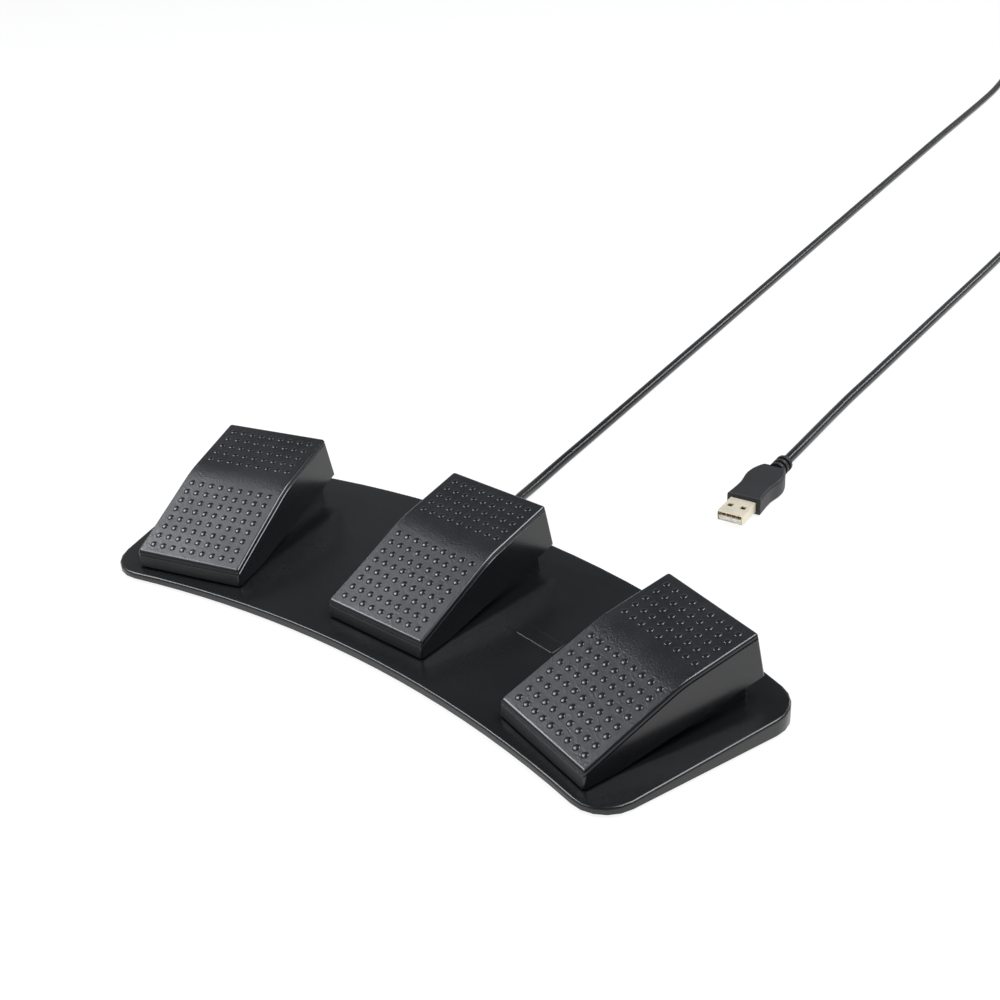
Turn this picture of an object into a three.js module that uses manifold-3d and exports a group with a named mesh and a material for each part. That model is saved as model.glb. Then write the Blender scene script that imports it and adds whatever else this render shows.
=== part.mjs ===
// Triple USB foot switch: three sprung pedals in a fan on one thin wedge-shaped base
// Units are millimetres, +Z is up, +X runs to the right of the person who uses it, +Y runs to the rear.
// The origin is on the floor, under the middle of the base.
import * as THREE from 'three';
import { mergeVertices } from 'three/addons/utils/BufferGeometryUtils.js';
import Module from 'manifold-3d';

const { Vector2, Vector3, Matrix4, MathUtils } = THREE;
const wasm = await Module();
wasm.setup();

// General sizes
const runningGap = 0.3; // between pieces that only just clear each other
const cutOverrun = 4; // how far a cutting shape runs past the face that it opens
const weldDistance = 1e-4; // points nearer than this are one
const screwSides = 10;
const roundSides = 16;

// Base: outline seen from above, measured from the rear edge of the middle pedal
const wedgeAngle = MathUtils.degToRad(3.15);
const lipHeight = 3.4; // front edge of the base at the middle, without the feet
const frontReach = 90.6; // from the middle pedal's rear edge to the base's front edge
const rearReach = 10; // the same to the base's rear edge
const frontArcRadius = 459;
const rearArcRadius = 423;
const halfSpan = 163.5; // half width between the side edges, level with the middle pedal's rear edge
const sideAngle = MathUtils.degToRad(15);
const baseCornerRadius = 15;
const baseEdgeRadius = 1;

// Base: walls and the plate that closes it from below
const footProud = 1; // the rubber feet stand out below the rim
const rimWall = 2;
const rimLedge = 1.6; // step inside the rim that the plate lies against
const deckWall = 2;
const plateThickness = 1.6;
const plateFrontInset = 16;
const cavityFrontInset = 30;

// Fan of pedals
const fanRadius = 439;
const fanAngle = MathUtils.degToRad(15.66);
const outerSetback = 1.1; // the outer pedals stand this much nearer to the fan's centre

// Pedal cover: side profile from the front wall to the rear wall, above the deck
const pedalLength = 79.7;
const alongPedalShares = { // places from the rear edge, of the pedal's length
  hinge: 0.8532, skirtBend: 0.8093, pedestalFront: 0.7842, pedestalScrew: 0.6524,
  pedestalShoulder: 0.6274, crease: 0.4504, presser: 0.4203, spring: 0.1882,
};
const pedalFrontHeight = 7.8;
const creaseFromRear = pedalLength * alongPedalShares.crease;
const creaseHeight = 23.3;
const rearTopFromRear = 2;
const rearTopHeight = 28.3;
const creaseBlend = 5;
const creaseStationShares = [-1, -0.5, 0, 0.5, 1]; // of the blend
const skirtGap = 0.8; // front part of the skirt above the deck
const skirtBendFromRear = pedalLength * alongPedalShares.skirtBend; // where the skirt starts to rise
const skirtRearHeight = 9.6;
const frontFootLean = 0.8; // foot of the front wall ahead of its top
const coverHalfWidthFront = 26; // along the skirt's foot
const coverHalfWidthRear = 26.3;
const sideDraft = MathUtils.degToRad(3.5);
const coverWall = 2;
const coverRoof = 2.4;
const coverCornerRadius = 1.3;
const coverEdgeRadius = 1.1;
const grooveDrop = 0.3; // line moulded right under the rounded top edge
const grooveWidth = 0.6;
const grooveDepth = 0.4;
const grooveBevel = 0.25; // along its lower edge

// Pedestal: the raised part of the base that each pedal closes over
const pedestalTop = 11.5;
const pedestalSideGap = 1.6;
const pedestalRearGap = 4;
const pedestalShoulderFromRear = pedalLength * alongPedalShares.pedestalShoulder;
const pedestalFrontFromRear = pedalLength * alongPedalShares.pedestalFront;
const pedestalFrontHeight = 4;
const pedestalWall = 2;
const pedestalCornerRadius = 3;

// Hinge of the pedal
const hingeFromRear = pedalLength * alongPedalShares.hinge;
const hingeHeight = 4.2;
const pressAngle = MathUtils.degToRad(7.5);
const hingePinRadius = 1.5;
const hingeBoreGap = 0.25;
const knuckleRadius = 2.8;
const knuckleHalfLength = 14;
const knuckleFootShare = 1.3; // half depth of the knuckle's foot, as a share of its radius
const earThickness = 3;

// Snap switch with a lever, lying under a window in the pedestal's roof
const switchLength = 19.8;
const switchHeight = 10.2;
const switchWidth = 6.4;
const switchTop = 11; // above the deck
const switchHoleRadius = 1.2;
const switchHoleSpacing = 9.5;
const switchHoleRise = 2.8;
const terminalLength = 3;
const terminalWidth = 1.6;
const terminalThickness = 0.5;
const terminalSpacing = 8.8;
const leverPivotFromFront = 1.9; // pivot behind the switch body's front end
const leverPivotRise = 0.9;
const leverLength = 19;
const leverWidth = 4;
const leverThickness = 0.5;
const leverHookRadius = 0.55;
const leverPressedAngle = MathUtils.degToRad(1.5);
const buttonFromPivot = 4.6;
const buttonRadius = 0.9;
const buttonLength = 3;
const buttonTravel = 0.9;
const presserFromRear = pedalLength * alongPedalShares.presser;
const presserRadius = 1.5;
const presserWidth = 5;
const presserGap = 0.12;
const cradleWall = 1.6;

// Return spring
const springFromRear = pedalLength * alongPedalShares.spring;
const springRadius = 5.2; // to the middle of the wire
const springWire = 1.1;
const springCurls = 6;
const springSteps = 8; // to a curl
const springEndGap = 0.45; // between the wires of the closed curls at both ends
const springWellRadius = 6.4;
const springWellWall = 1.4;
const springWellFloor = 2;
const spigotRadius = 3.4;
const spigotLength = 3;

// Hooks that keep the pedal from lifting
const hookOffset = 12;
const hookWidth = 4;
const hookThickness = 2;
const hookFromRear = 9;
const hookBarb = 1.5;
const hookBarbHeight = 2;
const hookSlotRear = 2.2;

// Ribs under the pedal's roof
const ribThickness = 1.4;
const ribInner = 7.6;
const ribOuter = 19.4;

// Feet, screws and bosses
const padRadius = 7;
const padSink = 0.8;
const screwThreadRadius = 1.2;
const screwLength = 4.2;
const screwHeadRadius = 2.3;
const screwHeadHeight = 0.9;
const screwCrossShare = 0.7; // reach of the cross recess, as a share of the head's radius
const bossRadius = 3;
const pedestalScrewOffset = 14.5;
const pedestalScrewFromRear = pedalLength * alongPedalShares.pedestalScrew;
const rearScrewX = 62;
const rearScrewInset = 7.2; // from the base's rear edge
const endScrewSideInset = 6.6; // from the base's side edge
const endScrewRearInset = 18.4; // from its rear edge
const endFootSideInset = 12.9;
const endFootRearInset = 36;
const frontFootSideInset = 59.5; // from the half span
const frontFootInset = 25; // from the base's front edge
const rearFootInset = 12.8;

// Bare raised field on the deck between the middle and the right pedal
const fieldWidth = 21;
const fieldDepth = 7;
const fieldFromFanCentre = 398.6;
const fieldProud = 0.35;
const fieldCornerRadius = 0.8;

// Control board in the base, left of the middle pedestal
const boardLength = 34;
const boardWidth = 20;
const boardThickness = 0.8;
const boardPost = 0.3;
const boardPostRadius = 2;
const boardPlace = new Vector2(-57, -19);
const chipSize = new Vector3(9, 6, 1);
const socketSize = new Vector3(8, 4, 1.2);
const boardMargin = 2;

// Cable and its grommet in the rear wall
const cableRadius = 2.4;
const cableSides = 8;
const cableRise = 5.3; // centre of the cable above the floor at the grommet
const exitX = -22.7;
const grommetRadius = 3.3;
const grommetEndRadius = 2.9;
const grommetInside = 4;
const grommetInsideRadius = 2.2;
const grommetOutside = 14;
const grommetFlangeHalf = 4.6;
const grommetFlangeLength = 1.2;
const grommetRibs = 3;
const grommetGrooveDepth = 0.7;

// Plug on the far end, from the face of its moulded body
const plugPlace = new Vector2(57.1, 92.9); // middle of the body's front face, seen from above
const plugHeading = new Vector2(0.137, -0.991);
const plugRise = 4.7;
const bodyLength = 32;
const bodyThickness = 8.6;
const bodyFrontHalf = 8;
const bodyWaistHalf = 7.4;
const bodyBulgeHalf = 8.5;
const bodyShoulderHalf = 6.8;
const bodyEndHalf = 5;
const bodyEdgeRadius = 1.3;
const bodyStationShares = [0, 0.36, 0.6, 0.76, 0.91, 1]; // of the body's length
const bodyBulgeEndShare = 0.98; // width behind the bulge, as a share of the bulge
const reliefLength = 12.6;
const reliefRibRadius = 4.1;
const reliefCoreRadius = 2.9;
const reliefRibs = 3;
const reliefRibShare = 0.5; // of the step from rib to rib
const shellWidth = 12;
const shellHeight = 4.5;
const shellLength = 14;
const shellWall = 0.35;
const tongueThickness = 1.9;
const windowSize = 2.4;
const windowSpacing = 6.2;
const windowFromFace = 7;
const contactWidth = 1.3;
const contactSpacing = 2.4;
const contactThickness = 0.2;
const contactLength = 8;

// Coil of the spare cable
const coilSteps = 24;
const coilSides = 6;
const coilRadius = 29;
const coilStep = 5.4; // from turn to turn
const coilRise = 5.4; // from layer to layer
const coilTurns = 2.472;
const coilCentre = new Vector2(-139, 863);
const coilEntryHeading = new Vector2(-0.1683, 0.9857);
const coilClimbTurns = 0.5;

// Routes of the cable to the coil and back from it, measured from the middle pedal's rear edge
const outRoute = [
  [-26.6, 38.6, 4.7], [-29.5, 48.7, 3.5], [-32, 59, 2.7], [-35, 74, 2.4],
  [-42.1, 116.2, 2.4], [-61.3, 229, 2.4], [-85.3, 369.7, 2.4], [-109.2, 510.1, 2.4], [-130.7, 637.3, 2.4],
  [-152.3, 766.5, 2.4],
];

const backRoute = [
  [-97.5, 811, 4.4], [-91.5, 794, 3.2], [-85, 776, 2.6], [-76, 751, 2.4], [-52.4, 684, 2.4],
  [-22.6, 603, 2.4], [-3.8, 545, 2.4], [5.5, 490, 2.4], [13, 434.3, 2.4], [24.4, 336.6, 2.4],
  [34.2, 252.5, 2.4], [40.1, 202.6, 2.4],
];

const standardMaterial = (color, roughness, metalness = 0) =>
  new THREE.MeshStandardMaterial({ color, roughness, metalness });
const finishes = {
  deck: standardMaterial(0x17181a, 0.35),
  cover: standardMaterial(0x3a3d42, 0.5),
  plate: standardMaterial(0x1b1c1e, 0.6),
  rubber: standardMaterial(0x101112, 0.8),
  steel: standardMaterial(0xb9bcc0, 0.3, 1),
  spring: standardMaterial(0x9a9da2, 0.35, 1),
  switchCase: standardMaterial(0x202326, 0.5),
  button: standardMaterial(0xb23a2e, 0.5),
  board: standardMaterial(0x1d5a3a, 0.5),
  chip: standardMaterial(0x111214, 0.5),
  socket: standardMaterial(0xe6e3d8, 0.5),
  jacket: standardMaterial(0x0c0c0d, 0.3),
  plug: standardMaterial(0x2c2d30, 0.55),
  shell: standardMaterial(0xcfcabb, 0.3, 1),
  tongue: standardMaterial(0xe9e7e0, 0.5),
  contact: standardMaterial(0xd6b25a, 0.3, 1),
};

// Solids: closed meshes and the joins and cuts between them

function closedGeometry(positions, indices) {
  const geometry = new THREE.BufferGeometry();
  geometry.setAttribute('position', new THREE.Float32BufferAttribute(positions, 3));
  geometry.setIndex(indices);
  return geometry;
}

function toSolid(geometry) {
  const bare = geometry.clone();
  bare.deleteAttribute('normal');
  bare.deleteAttribute('uv');
  const merged = mergeVertices(bare, weldDistance);
  return new wasm.Manifold(new wasm.Mesh({
    numProp: 3,
    vertProperties: new Float32Array(merged.attributes.position.array),
    triVerts: new Uint32Array(merged.index.array),
  }));
}

function toGeometry(solid) {
  const result = solid.getMesh();
  const positions = new Float32Array(result.vertProperties);
  return closedGeometry(positions, Array.from(result.triVerts));
}

const joined = (solids) => solids.reduce((sum, solid) => sum.add(solid));
const cutBy = (solid, cutters) => cutters.reduce((rest, cutter) => rest.subtract(cutter), solid);
const moved = (geometry, matrix) => toSolid(geometry.clone().applyMatrix4(matrix));

// Caps of a lofted ring: flat ones of any outline, and ruled ones between mirrored halves
const flatCap = (ring) =>
  THREE.ShapeUtils.triangulateShape(ring.map((p) => new Vector2(p.x, p.y)), []);
const ruledCap = (ring) => {
  const last = ring.length - 1;
  const triangles = [];
  for (let i = 0; i < ring.length / 2 - 1; i++) {
    triangles.push([i, i + 1, last - i - 1], [i, last - i - 1, last - i]);
  }
  return triangles;
};

// A solid through rings of equal length, bottom ring first, each anticlockwise seen from above
function loft(rings, cap = flatCap) {
  const count = rings[0].length;
  const positions = rings.flat().flatMap((p) => [p.x, p.y, p.z]);
  const indices = [];
  cap(rings[0]).forEach(([a, b, c]) => indices.push(c, b, a));
  for (let level = 0; level < rings.length - 1; level++) {
    for (let i = 0; i < count; i++) {
      const next = (i + 1) % count;
      const low = level * count;
      const high = low + count;
      indices.push(low + i, low + next, high + next, low + i, high + next, high + i);
    }
  }
  const top = (rings.length - 1) * count;
  cap(rings[rings.length - 1]).forEach(([a, b, c]) => indices.push(top + a, top + b, top + c));
  return closedGeometry(positions, indices);
}

// Box from its lowest to its highest corner
function box(x0, x1, y0, y1, z0, z1) {
  const geometry = new THREE.BoxGeometry(x1 - x0, y1 - y0, z1 - z0);
  return geometry.translate((x0 + x1) / 2, (y0 + y1) / 2, (z0 + z1) / 2);
}

// Upright cylinder, and one that lies along X
function post(radius, z0, z1, x = 0, y = 0, sides = roundSides) {
  const geometry = new THREE.CylinderGeometry(radius, radius, z1 - z0, sides);
  return geometry.rotateX(Math.PI / 2).translate(x, y, (z0 + z1) / 2);
}

function crossBar(radius, x0, x1, y, z, sides = roundSides) {
  const geometry = new THREE.CylinderGeometry(radius, radius, x1 - x0, sides);
  return geometry.rotateZ(Math.PI / 2).translate((x0 + x1) / 2, y, z);
}

// A side view in Y and Z, given as a shape, pulled along X
function sideProfile(points, x0, x1) {
  const shape = new THREE.Shape(points.map(([y, z]) => new Vector2(y, z)));
  const geometry = new THREE.ExtrudeGeometry(shape, { depth: x1 - x0, bevelEnabled: false });
  const turn = new Matrix4().makeBasis(new Vector3(0, 1, 0), new Vector3(0, 0, 1), new Vector3(1, 0, 0));
  return geometry.applyMatrix4(turn).translate(x0, 0, 0);
}

// A profile of radius and height turned about Z
function turned(points, sides = roundSides) {
  const geometry = new THREE.LatheGeometry(points.map(([r, z]) => new Vector2(r, z)), sides);
  return geometry.rotateX(Math.PI / 2);
}

// A tube along a curve, with flat ends square to it
function tube(curve, radius, sides, steps) {
  const section = new THREE.Shape();
  for (let i = 0; i < sides; i++) {
    const angle = ((i + 0.5) / sides) * 2 * Math.PI;
    const point = [radius * Math.cos(angle), radius * Math.sin(angle)];
    if (i === 0) section.moveTo(...point);
    else section.lineTo(...point);
  }
  section.closePath();
  const options = { steps, extrudePath: curve, bevelEnabled: false, curveSegments: 1 };
  return new THREE.ExtrudeGeometry(section, options);
}

const arcPoints = (centreX, centreY, radius, from, to, count) =>
  Array.from({ length: count + 1 }, (_, i) => {
    const angle = MathUtils.lerp(from, to, i / count);
    return new Vector2(centreX + radius * Math.cos(angle), centreY + radius * Math.sin(angle));
  });

// Outline of the base, drawn in by an inset at the sides and rear and by another at the front
const frontArcY = -frontReach - frontArcRadius;
const rearArcY = rearReach - rearArcRadius;
const rimBottom = footProud;
const deckRise = footProud + lipHeight + frontReach * Math.tan(wedgeAngle);
const deckAt = (y) => deckRise + y * Math.tan(wedgeAngle);

function cornerCentre(arcY, distance, inset, radius) {
  const along = new Vector2(Math.sin(sideAngle), Math.cos(sideAngle));
  const inward = new Vector2(-Math.cos(sideAngle), Math.sin(sideAngle));
  const start = new Vector2(halfSpan, 0).addScaledVector(inward, inset + radius);
  const toStart = start.clone().sub(new Vector2(0, arcY));
  const b = toStart.dot(along);
  const c = toStart.lengthSq() - distance * distance;
  return start.addScaledVector(along, -b + Math.sqrt(b * b - c));
}

function baseOutline(inset, frontInset = inset, arcSteps = 10, cornerSteps = 5) {
  const rearRadius = rearArcRadius - inset;
  const frontRadius = frontArcRadius + frontInset;
  const corner = baseCornerRadius - inset;
  const front = cornerCentre(frontArcY, frontRadius + corner, inset, corner);
  const rear = cornerCentre(rearArcY, rearRadius - corner, inset, corner);
  const quarter = Math.PI / 2;
  const frontEnd = Math.atan2(front.y - frontArcY, front.x);
  const rearEnd = Math.atan2(rear.y - rearArcY, rear.x);
  const half = [
    ...arcPoints(0, frontArcY, frontRadius, quarter, frontEnd, arcSteps),
    ...arcPoints(front.x, front.y, corner, frontEnd - Math.PI, -sideAngle, cornerSteps).slice(1),
    ...arcPoints(rear.x, rear.y, corner, -sideAngle, rearEnd, cornerSteps),
    ...arcPoints(0, rearArcY, rearRadius, rearEnd, quarter, arcSteps).slice(1),
  ];
  const mirrored = half.slice(1, -1).reverse().map((p) => new Vector2(-p.x, p.y));
  return [...half, ...mirrored];
}

const frontEdgeAt = (x) => frontArcY + Math.sqrt(frontArcRadius ** 2 - x ** 2);
const rearEdgeAt = (x) => rearArcY + Math.sqrt(rearArcRadius ** 2 - x ** 2);
const sideEdgeAt = (y) => halfSpan + y * Math.tan(sideAngle);

function nearEnd(sideInset, rearInset) {
  const spot = new Vector2(halfSpan - sideInset, 0);
  for (let pass = 0; pass < 8; pass++) {
    spot.y = rearEdgeAt(spot.x) - rearInset;
    spot.x = sideEdgeAt(spot.y) - sideInset;
  }
  return spot;
}

const ringAt = (outline, heightAt) => outline.map((p) => new Vector3(p.x, p.y, heightAt(p.y)));
const level = (z) => () => z;

// Frames: the deck slopes with the wedge, and each pedal has its own frame on the deck
const deckFrame = new Matrix4().makeTranslation(0, 0, deckRise)
  .multiply(new Matrix4().makeRotationX(wedgeAngle));
const pedalPlaces = [
  { side: 'left', turn: fanAngle, radius: fanRadius - outerSetback },
  { side: 'middle', turn: 0, radius: fanRadius },
  { side: 'right', turn: -fanAngle, radius: fanRadius - outerSetback },
].map((place) => {
  const y = place.radius * Math.cos(place.turn) - fanRadius;
  return { ...place, position: new Vector3(-place.radius * Math.sin(place.turn), y, 0) };
});
const onDeck = (place) => new Matrix4().makeTranslation(place.position)
  .multiply(new Matrix4().makeRotationZ(place.turn));
const fromPedal = (place) => deckFrame.clone().multiply(onDeck(place));

// Pedal cover: heights and widths of its outline
const frontSlope = (creaseHeight - pedalFrontHeight) / (pedalLength - creaseFromRear);
const rearSlope = (rearTopHeight - creaseHeight) / (creaseFromRear - rearTopFromRear);
const skirtSlope = (skirtRearHeight - skirtGap) / skirtBendFromRear;
const rearLean = rearTopFromRear / (rearTopHeight - skirtRearHeight);
const frontLean = frontFootLean / (pedalFrontHeight - skirtGap);

function topAt(y) {
  const past = y + creaseFromRear;
  if (past < -creaseBlend) return creaseHeight + frontSlope * past;
  if (past > creaseBlend) return creaseHeight + rearSlope * past;
  const share = past / creaseBlend;
  const sag = ((frontSlope - rearSlope) * creaseBlend * (share * share + 1)) / 4;
  return creaseHeight + ((frontSlope + rearSlope) / 2) * past - sag;
}

const skirtAt = (y) => skirtGap + Math.max(0, y + skirtBendFromRear) * skirtSlope;

function pedalRing(heightAt, inset, cornerSteps = 4) {
  let rear = 0;
  let front = -pedalLength;
  for (let pass = 0; pass < 4; pass++) {
    rear = -(heightAt(rear) - skirtRearHeight) * rearLean;
    front = (heightAt(front) - pedalFrontHeight) * frontLean - pedalLength;
  }
  rear -= inset;
  front += inset;
  const corner = Math.max(coverCornerRadius - inset, coverEdgeRadius / 2);
  const halfWidthAt = (y) => {
    const lower = MathUtils.mapLinear(y, -pedalLength, 0, coverHalfWidthFront, coverHalfWidthRear);
    return lower - (heightAt(y) - skirtAt(y)) * Math.tan(sideDraft) - inset;
  };
  const stations = [
    -skirtBendFromRear,
    ...creaseStationShares.map((share) => share * creaseBlend - creaseFromRear),
  ];
  const quarter = Math.PI / 2;
  const outer = [
    ...arcPoints(0, front + corner, corner, -quarter, 0, cornerSteps),
    ...stations.map((y) => new Vector2(corner, y)),
    ...arcPoints(0, rear - corner, corner, 0, quarter, cornerSteps),
  ];
  const right = outer.map((p) => new Vector3(halfWidthAt(p.y) - corner + p.x, p.y, heightAt(p.y)));
  const left = [...right].reverse().map((p) => new Vector3(-p.x, p.y, p.z));
  return [...right, ...left];
}

function edgeRings(ringOf, radius, steps) {
  return Array.from({ length: steps }, (_, i) => {
    const angle = ((i + 1) / steps) * (Math.PI / 2);
    return ringOf(radius * (1 - Math.cos(angle)), radius * (1 - Math.sin(angle)));
  });
}

// Kinematics of a pedal: rest angle of the switch lever, and how far it turns with the pedal
const pivotY = -(presserFromRear + (leverLength - 2 * presserRadius));
const switchFront = pivotY - leverPivotFromFront;
const pivotZ = switchTop + leverPivotRise;
const presserReach = hingeFromRear - presserFromRear;
const pressedTipReach = (tipZ) => ({
  y: -hingeFromRear + presserReach * Math.cos(pressAngle) + (tipZ - hingeHeight) * Math.sin(pressAngle),
  z: hingeHeight + (tipZ - hingeHeight) * Math.cos(pressAngle) - presserReach * Math.sin(pressAngle),
});
const leverTopAt = (y, angle) =>
  pivotZ + (y - pivotY) * Math.tan(angle) + leverThickness / 2 / Math.cos(angle);
let presserTip = creaseHeight;
for (let pass = 0; pass < 20; pass++) {
  const pressed = pressedTipReach(presserTip);
  presserTip += leverTopAt(pressed.y, leverPressedAngle) + presserGap - pressed.z;
}
const leverRestAngle = Math.atan(
  (presserTip - presserGap * 2 - leverThickness / 2 - pivotZ) / (-presserFromRear - pivotY),
);
console.log('lever turns', MathUtils.radToDeg(leverRestAngle - leverPressedAngle).toFixed(3), 'degrees');

// Pedestal seen from the side, with an inset for its walls
function pedestalSolid(inset, roofDrop, floor) {
  const half = coverHalfWidthRear - coverWall - pedestalSideGap - inset;
  const corner = Math.max(pedestalCornerRadius - inset, inset / 2);
  const quarter = Math.PI / 2;
  const front = -pedestalFrontFromRear + inset;
  const rear = -pedestalRearGap - inset;
  const heightAt = (y) => {
    const share = (y + pedestalFrontFromRear) / (pedestalFrontFromRear - pedestalShoulderFromRear);
    return MathUtils.lerp(pedestalFrontHeight, pedestalTop, MathUtils.clamp(share, 0, 1)) - roofDrop;
  };
  const right = [
    ...arcPoints(half - corner, front + corner, corner, -quarter, 0, 4),
    new Vector2(half, -pedestalShoulderFromRear),
    ...arcPoints(half - corner, rear - corner, corner, 0, quarter, 4),
  ];
  const outline = [...right, ...[...right].reverse().map((p) => new Vector2(-p.x, p.y))];
  return loft([ringAt(outline, level(floor)), ringAt(outline, heightAt)], ruledCap);
}

// Base shell: deck, rim, pedestals, bosses and the openings in them
const pedestalFloor = -deckRise;
const windowHalf = switchWidth / 2 + runningGap;
const switchRear = switchFront + switchLength;
const grommetTurn = Math.asin(-exitX / rearArcRadius);
const rearEdgeAtExit = rearEdgeAt(exitX);
const grommetFrame = new Matrix4().makeTranslation(exitX, rearEdgeAtExit, cableRise)
  .multiply(new Matrix4().makeRotationZ(grommetTurn));
const rearScrewY = rearEdgeAt(rearScrewX) - rearScrewInset;
const endScrew = nearEnd(endScrewSideInset, endScrewRearInset);
const screwPlaces = [
  { name: 'rear_screw_left', x: -rearScrewX, y: rearScrewY },
  { name: 'rear_screw_right', x: rearScrewX, y: rearScrewY },
  { name: 'end_screw_left', x: -endScrew.x, y: endScrew.y },
  { name: 'end_screw_right', x: endScrew.x, y: endScrew.y },
  ...pedalPlaces.flatMap((place) => [-1, 1].map((hand) => {
    const spot = new Vector3(hand * pedestalScrewOffset, -pedestalScrewFromRear, 0)
      .applyMatrix4(fromPedal(place));
    return { name: `${place.side}_pedestal_screw_${hand < 0 ? 'a' : 'b'}`, x: spot.x, y: spot.y };
  })),
];
const plateTop = rimBottom + plateThickness;
const bossFoot = plateTop + runningGap;
const screwTip = rimBottom + screwLength + screwThreadRadius / 2;

function pedestalInside(place) {
  const frame = fromPedal(place);
  const roofUnder = pedestalTop - pedestalWall;
  const cradleHalf = windowHalf + cradleWall;
  const cradleFloor = switchTop - switchHeight;
  const holeY = [-1, 1].map((hand) => switchFront + switchLength / 2 + (hand * switchHoleSpacing) / 2);
  const holeZ = cradleFloor + switchHoleRise;
  const pegs = holeY.map((y) =>
    crossBar(switchHoleRadius - runningGap / 2, -cradleHalf, cradleHalf, y, holeZ, screwSides));
  const cheeks = [-1, 1].map((hand) => box(
    Math.min(hand * windowHalf, hand * cradleHalf), Math.max(hand * windowHalf, hand * cradleHalf),
    switchFront, switchRear, cradleFloor, roofUnder + pedestalWall / 2,
  ));
  const well = post(springWellRadius + springWellWall, springWellFloor - springWellWall,
    roofUnder + pedestalWall / 2, 0, -springFromRear);
  return [...pegs, ...cheeks, well].map((geometry) => moved(geometry, frame));
}

function pedestalOpenings(place) {
  const frame = fromPedal(place);
  const roofTop = pedestalTop + cutOverrun;
  const window = box(-windowHalf, windowHalf, switchFront - runningGap, switchRear + runningGap,
    pedestalTop - pedestalWall - cutOverrun, roofTop);
  const well = post(springWellRadius, springWellFloor, roofTop, 0, -springFromRear);
  const slots = [-1, 1].map((hand) => box(
    hand * hookOffset - hookWidth / 2 - runningGap * 2, hand * hookOffset + hookWidth / 2 + runningGap * 2,
    -hookFromRear - hookThickness / 2 - runningGap * 2, -hookFromRear + hookThickness / 2 + hookSlotRear,
    pedestalTop - pedestalWall - runningGap, roofTop,
  ));
  return [window, well, ...slots].map((geometry) => moved(geometry, frame));
}

function knuckle(place) {
  const points = [
    ...arcPoints(-hingeFromRear, hingeHeight, knuckleRadius, 0, Math.PI, 10).map((p) => [p.x, p.y]),
    [-hingeFromRear - knuckleRadius * knuckleFootShare, -deckWall / 4],
    [-hingeFromRear + knuckleRadius * knuckleFootShare, -deckWall / 4],
  ];
  return moved(sideProfile(points, -knuckleHalfLength, knuckleHalfLength), fromPedal(place));
}

function knuckleBore(place) {
  const bore = crossBar(hingePinRadius + hingeBoreGap, -knuckleHalfLength - cutOverrun,
    knuckleHalfLength + cutOverrun, -hingeFromRear, hingeHeight);
  return moved(bore, fromPedal(place));
}

function raisedField() {
  const ringOf = (inset, drop) => {
    const corner = fieldCornerRadius - inset;
    const x = fieldWidth / 2 - fieldCornerRadius;
    const y = fieldDepth / 2 - fieldCornerRadius;
    const quarter = Math.PI / 2;
    const outline = [[x, -y, -1], [x, y, 0], [-x, y, 1], [-x, -y, 2]].flatMap(([centreX, centreY, turns]) =>
      arcPoints(centreX, centreY, corner, turns * quarter, (turns + 1) * quarter, 3));
    return ringAt(outline, level(fieldProud - drop));
  };
  const frame = deckFrame.clone()
    .multiply(new Matrix4().makeTranslation(0, -fanRadius, 0))
    .multiply(new Matrix4().makeRotationZ(-fanAngle / 2))
    .multiply(new Matrix4().makeTranslation(0, fieldFromFanCentre, 0));
  return moved(loft([
    ringOf(0, fieldProud + deckWall / 2),
    ringOf(0, fieldProud),
    ...edgeRings(ringOf, fieldProud, 3),
  ]), frame);
}

function baseShell() {
  const ringOf = (inset, drop) => ringAt(baseOutline(inset), (y) => deckAt(y) - drop);
  const slab = toSolid(loft([
    ringAt(baseOutline(0), level(rimBottom)),
    ringOf(0, baseEdgeRadius),
    ...edgeRings(ringOf, baseEdgeRadius, 3),
  ]));
  const pedestals = pedalPlaces.map((place) =>
    moved(pedestalSolid(0, 0, -deckWall / 2), fromPedal(place)));
  const envelope = joined([slab, ...pedestals]);
  const recessOutline = baseOutline(rimWall, plateFrontInset - runningGap, 6, 3);
  const plateRecess = toSolid(loft([
    ringAt(recessOutline, level(rimBottom - cutOverrun)),
    ringAt(recessOutline, level(plateTop + runningGap)),
  ]));
  const cavityOutline = baseOutline(rimWall + rimLedge, cavityFrontInset, 6, 3);
  const cavity = toSolid(loft([
    ringAt(cavityOutline, level(rimBottom)),
    ringAt(cavityOutline, (y) => deckAt(y) - deckWall),
  ]));
  const pockets = pedalPlaces.map((place) =>
    moved(pedestalSolid(pedestalWall, pedestalWall, pedestalFloor), fromPedal(place)));
  const hollow = cutBy(envelope, [plateRecess, cavity, ...pockets]);
  const bosses = screwPlaces.map(({ x, y }) =>
    toSolid(post(bossRadius, bossFoot, deckAt(y) + pedestalTop, x, y, screwSides)));
  const inside = joined([...pedalPlaces.flatMap(pedestalInside), ...bosses]).intersect(envelope);
  const knuckles = pedalPlaces.map(knuckle);
  const body = joined([hollow, inside, raisedField(), ...knuckles]);
  const pilots = screwPlaces.map(({ x, y }) =>
    toSolid(post(screwThreadRadius + hingeBoreGap, bossFoot - cutOverrun,
      screwTip + runningGap, x, y, screwSides)));
  const grommetNotch = [
    moved(new THREE.CylinderGeometry(grommetRadius + runningGap, grommetRadius + runningGap,
      2 * rimWall + cutOverrun, roundSides), grommetFrame),
    moved(box(-grommetFlangeHalf - runningGap, grommetFlangeHalf + runningGap,
      -rimWall - rimLedge - cutOverrun, -rimWall, plateTop - cableRise,
      deckAt(rearEdgeAtExit - rimWall - rimLedge) - deckWall - cableRise), grommetFrame),
  ];
  return cutBy(body, [
    ...pedalPlaces.flatMap(pedestalOpenings),
    ...pedalPlaces.map(knuckleBore),
    ...pilots,
    ...grommetNotch,
  ]);
}

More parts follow.
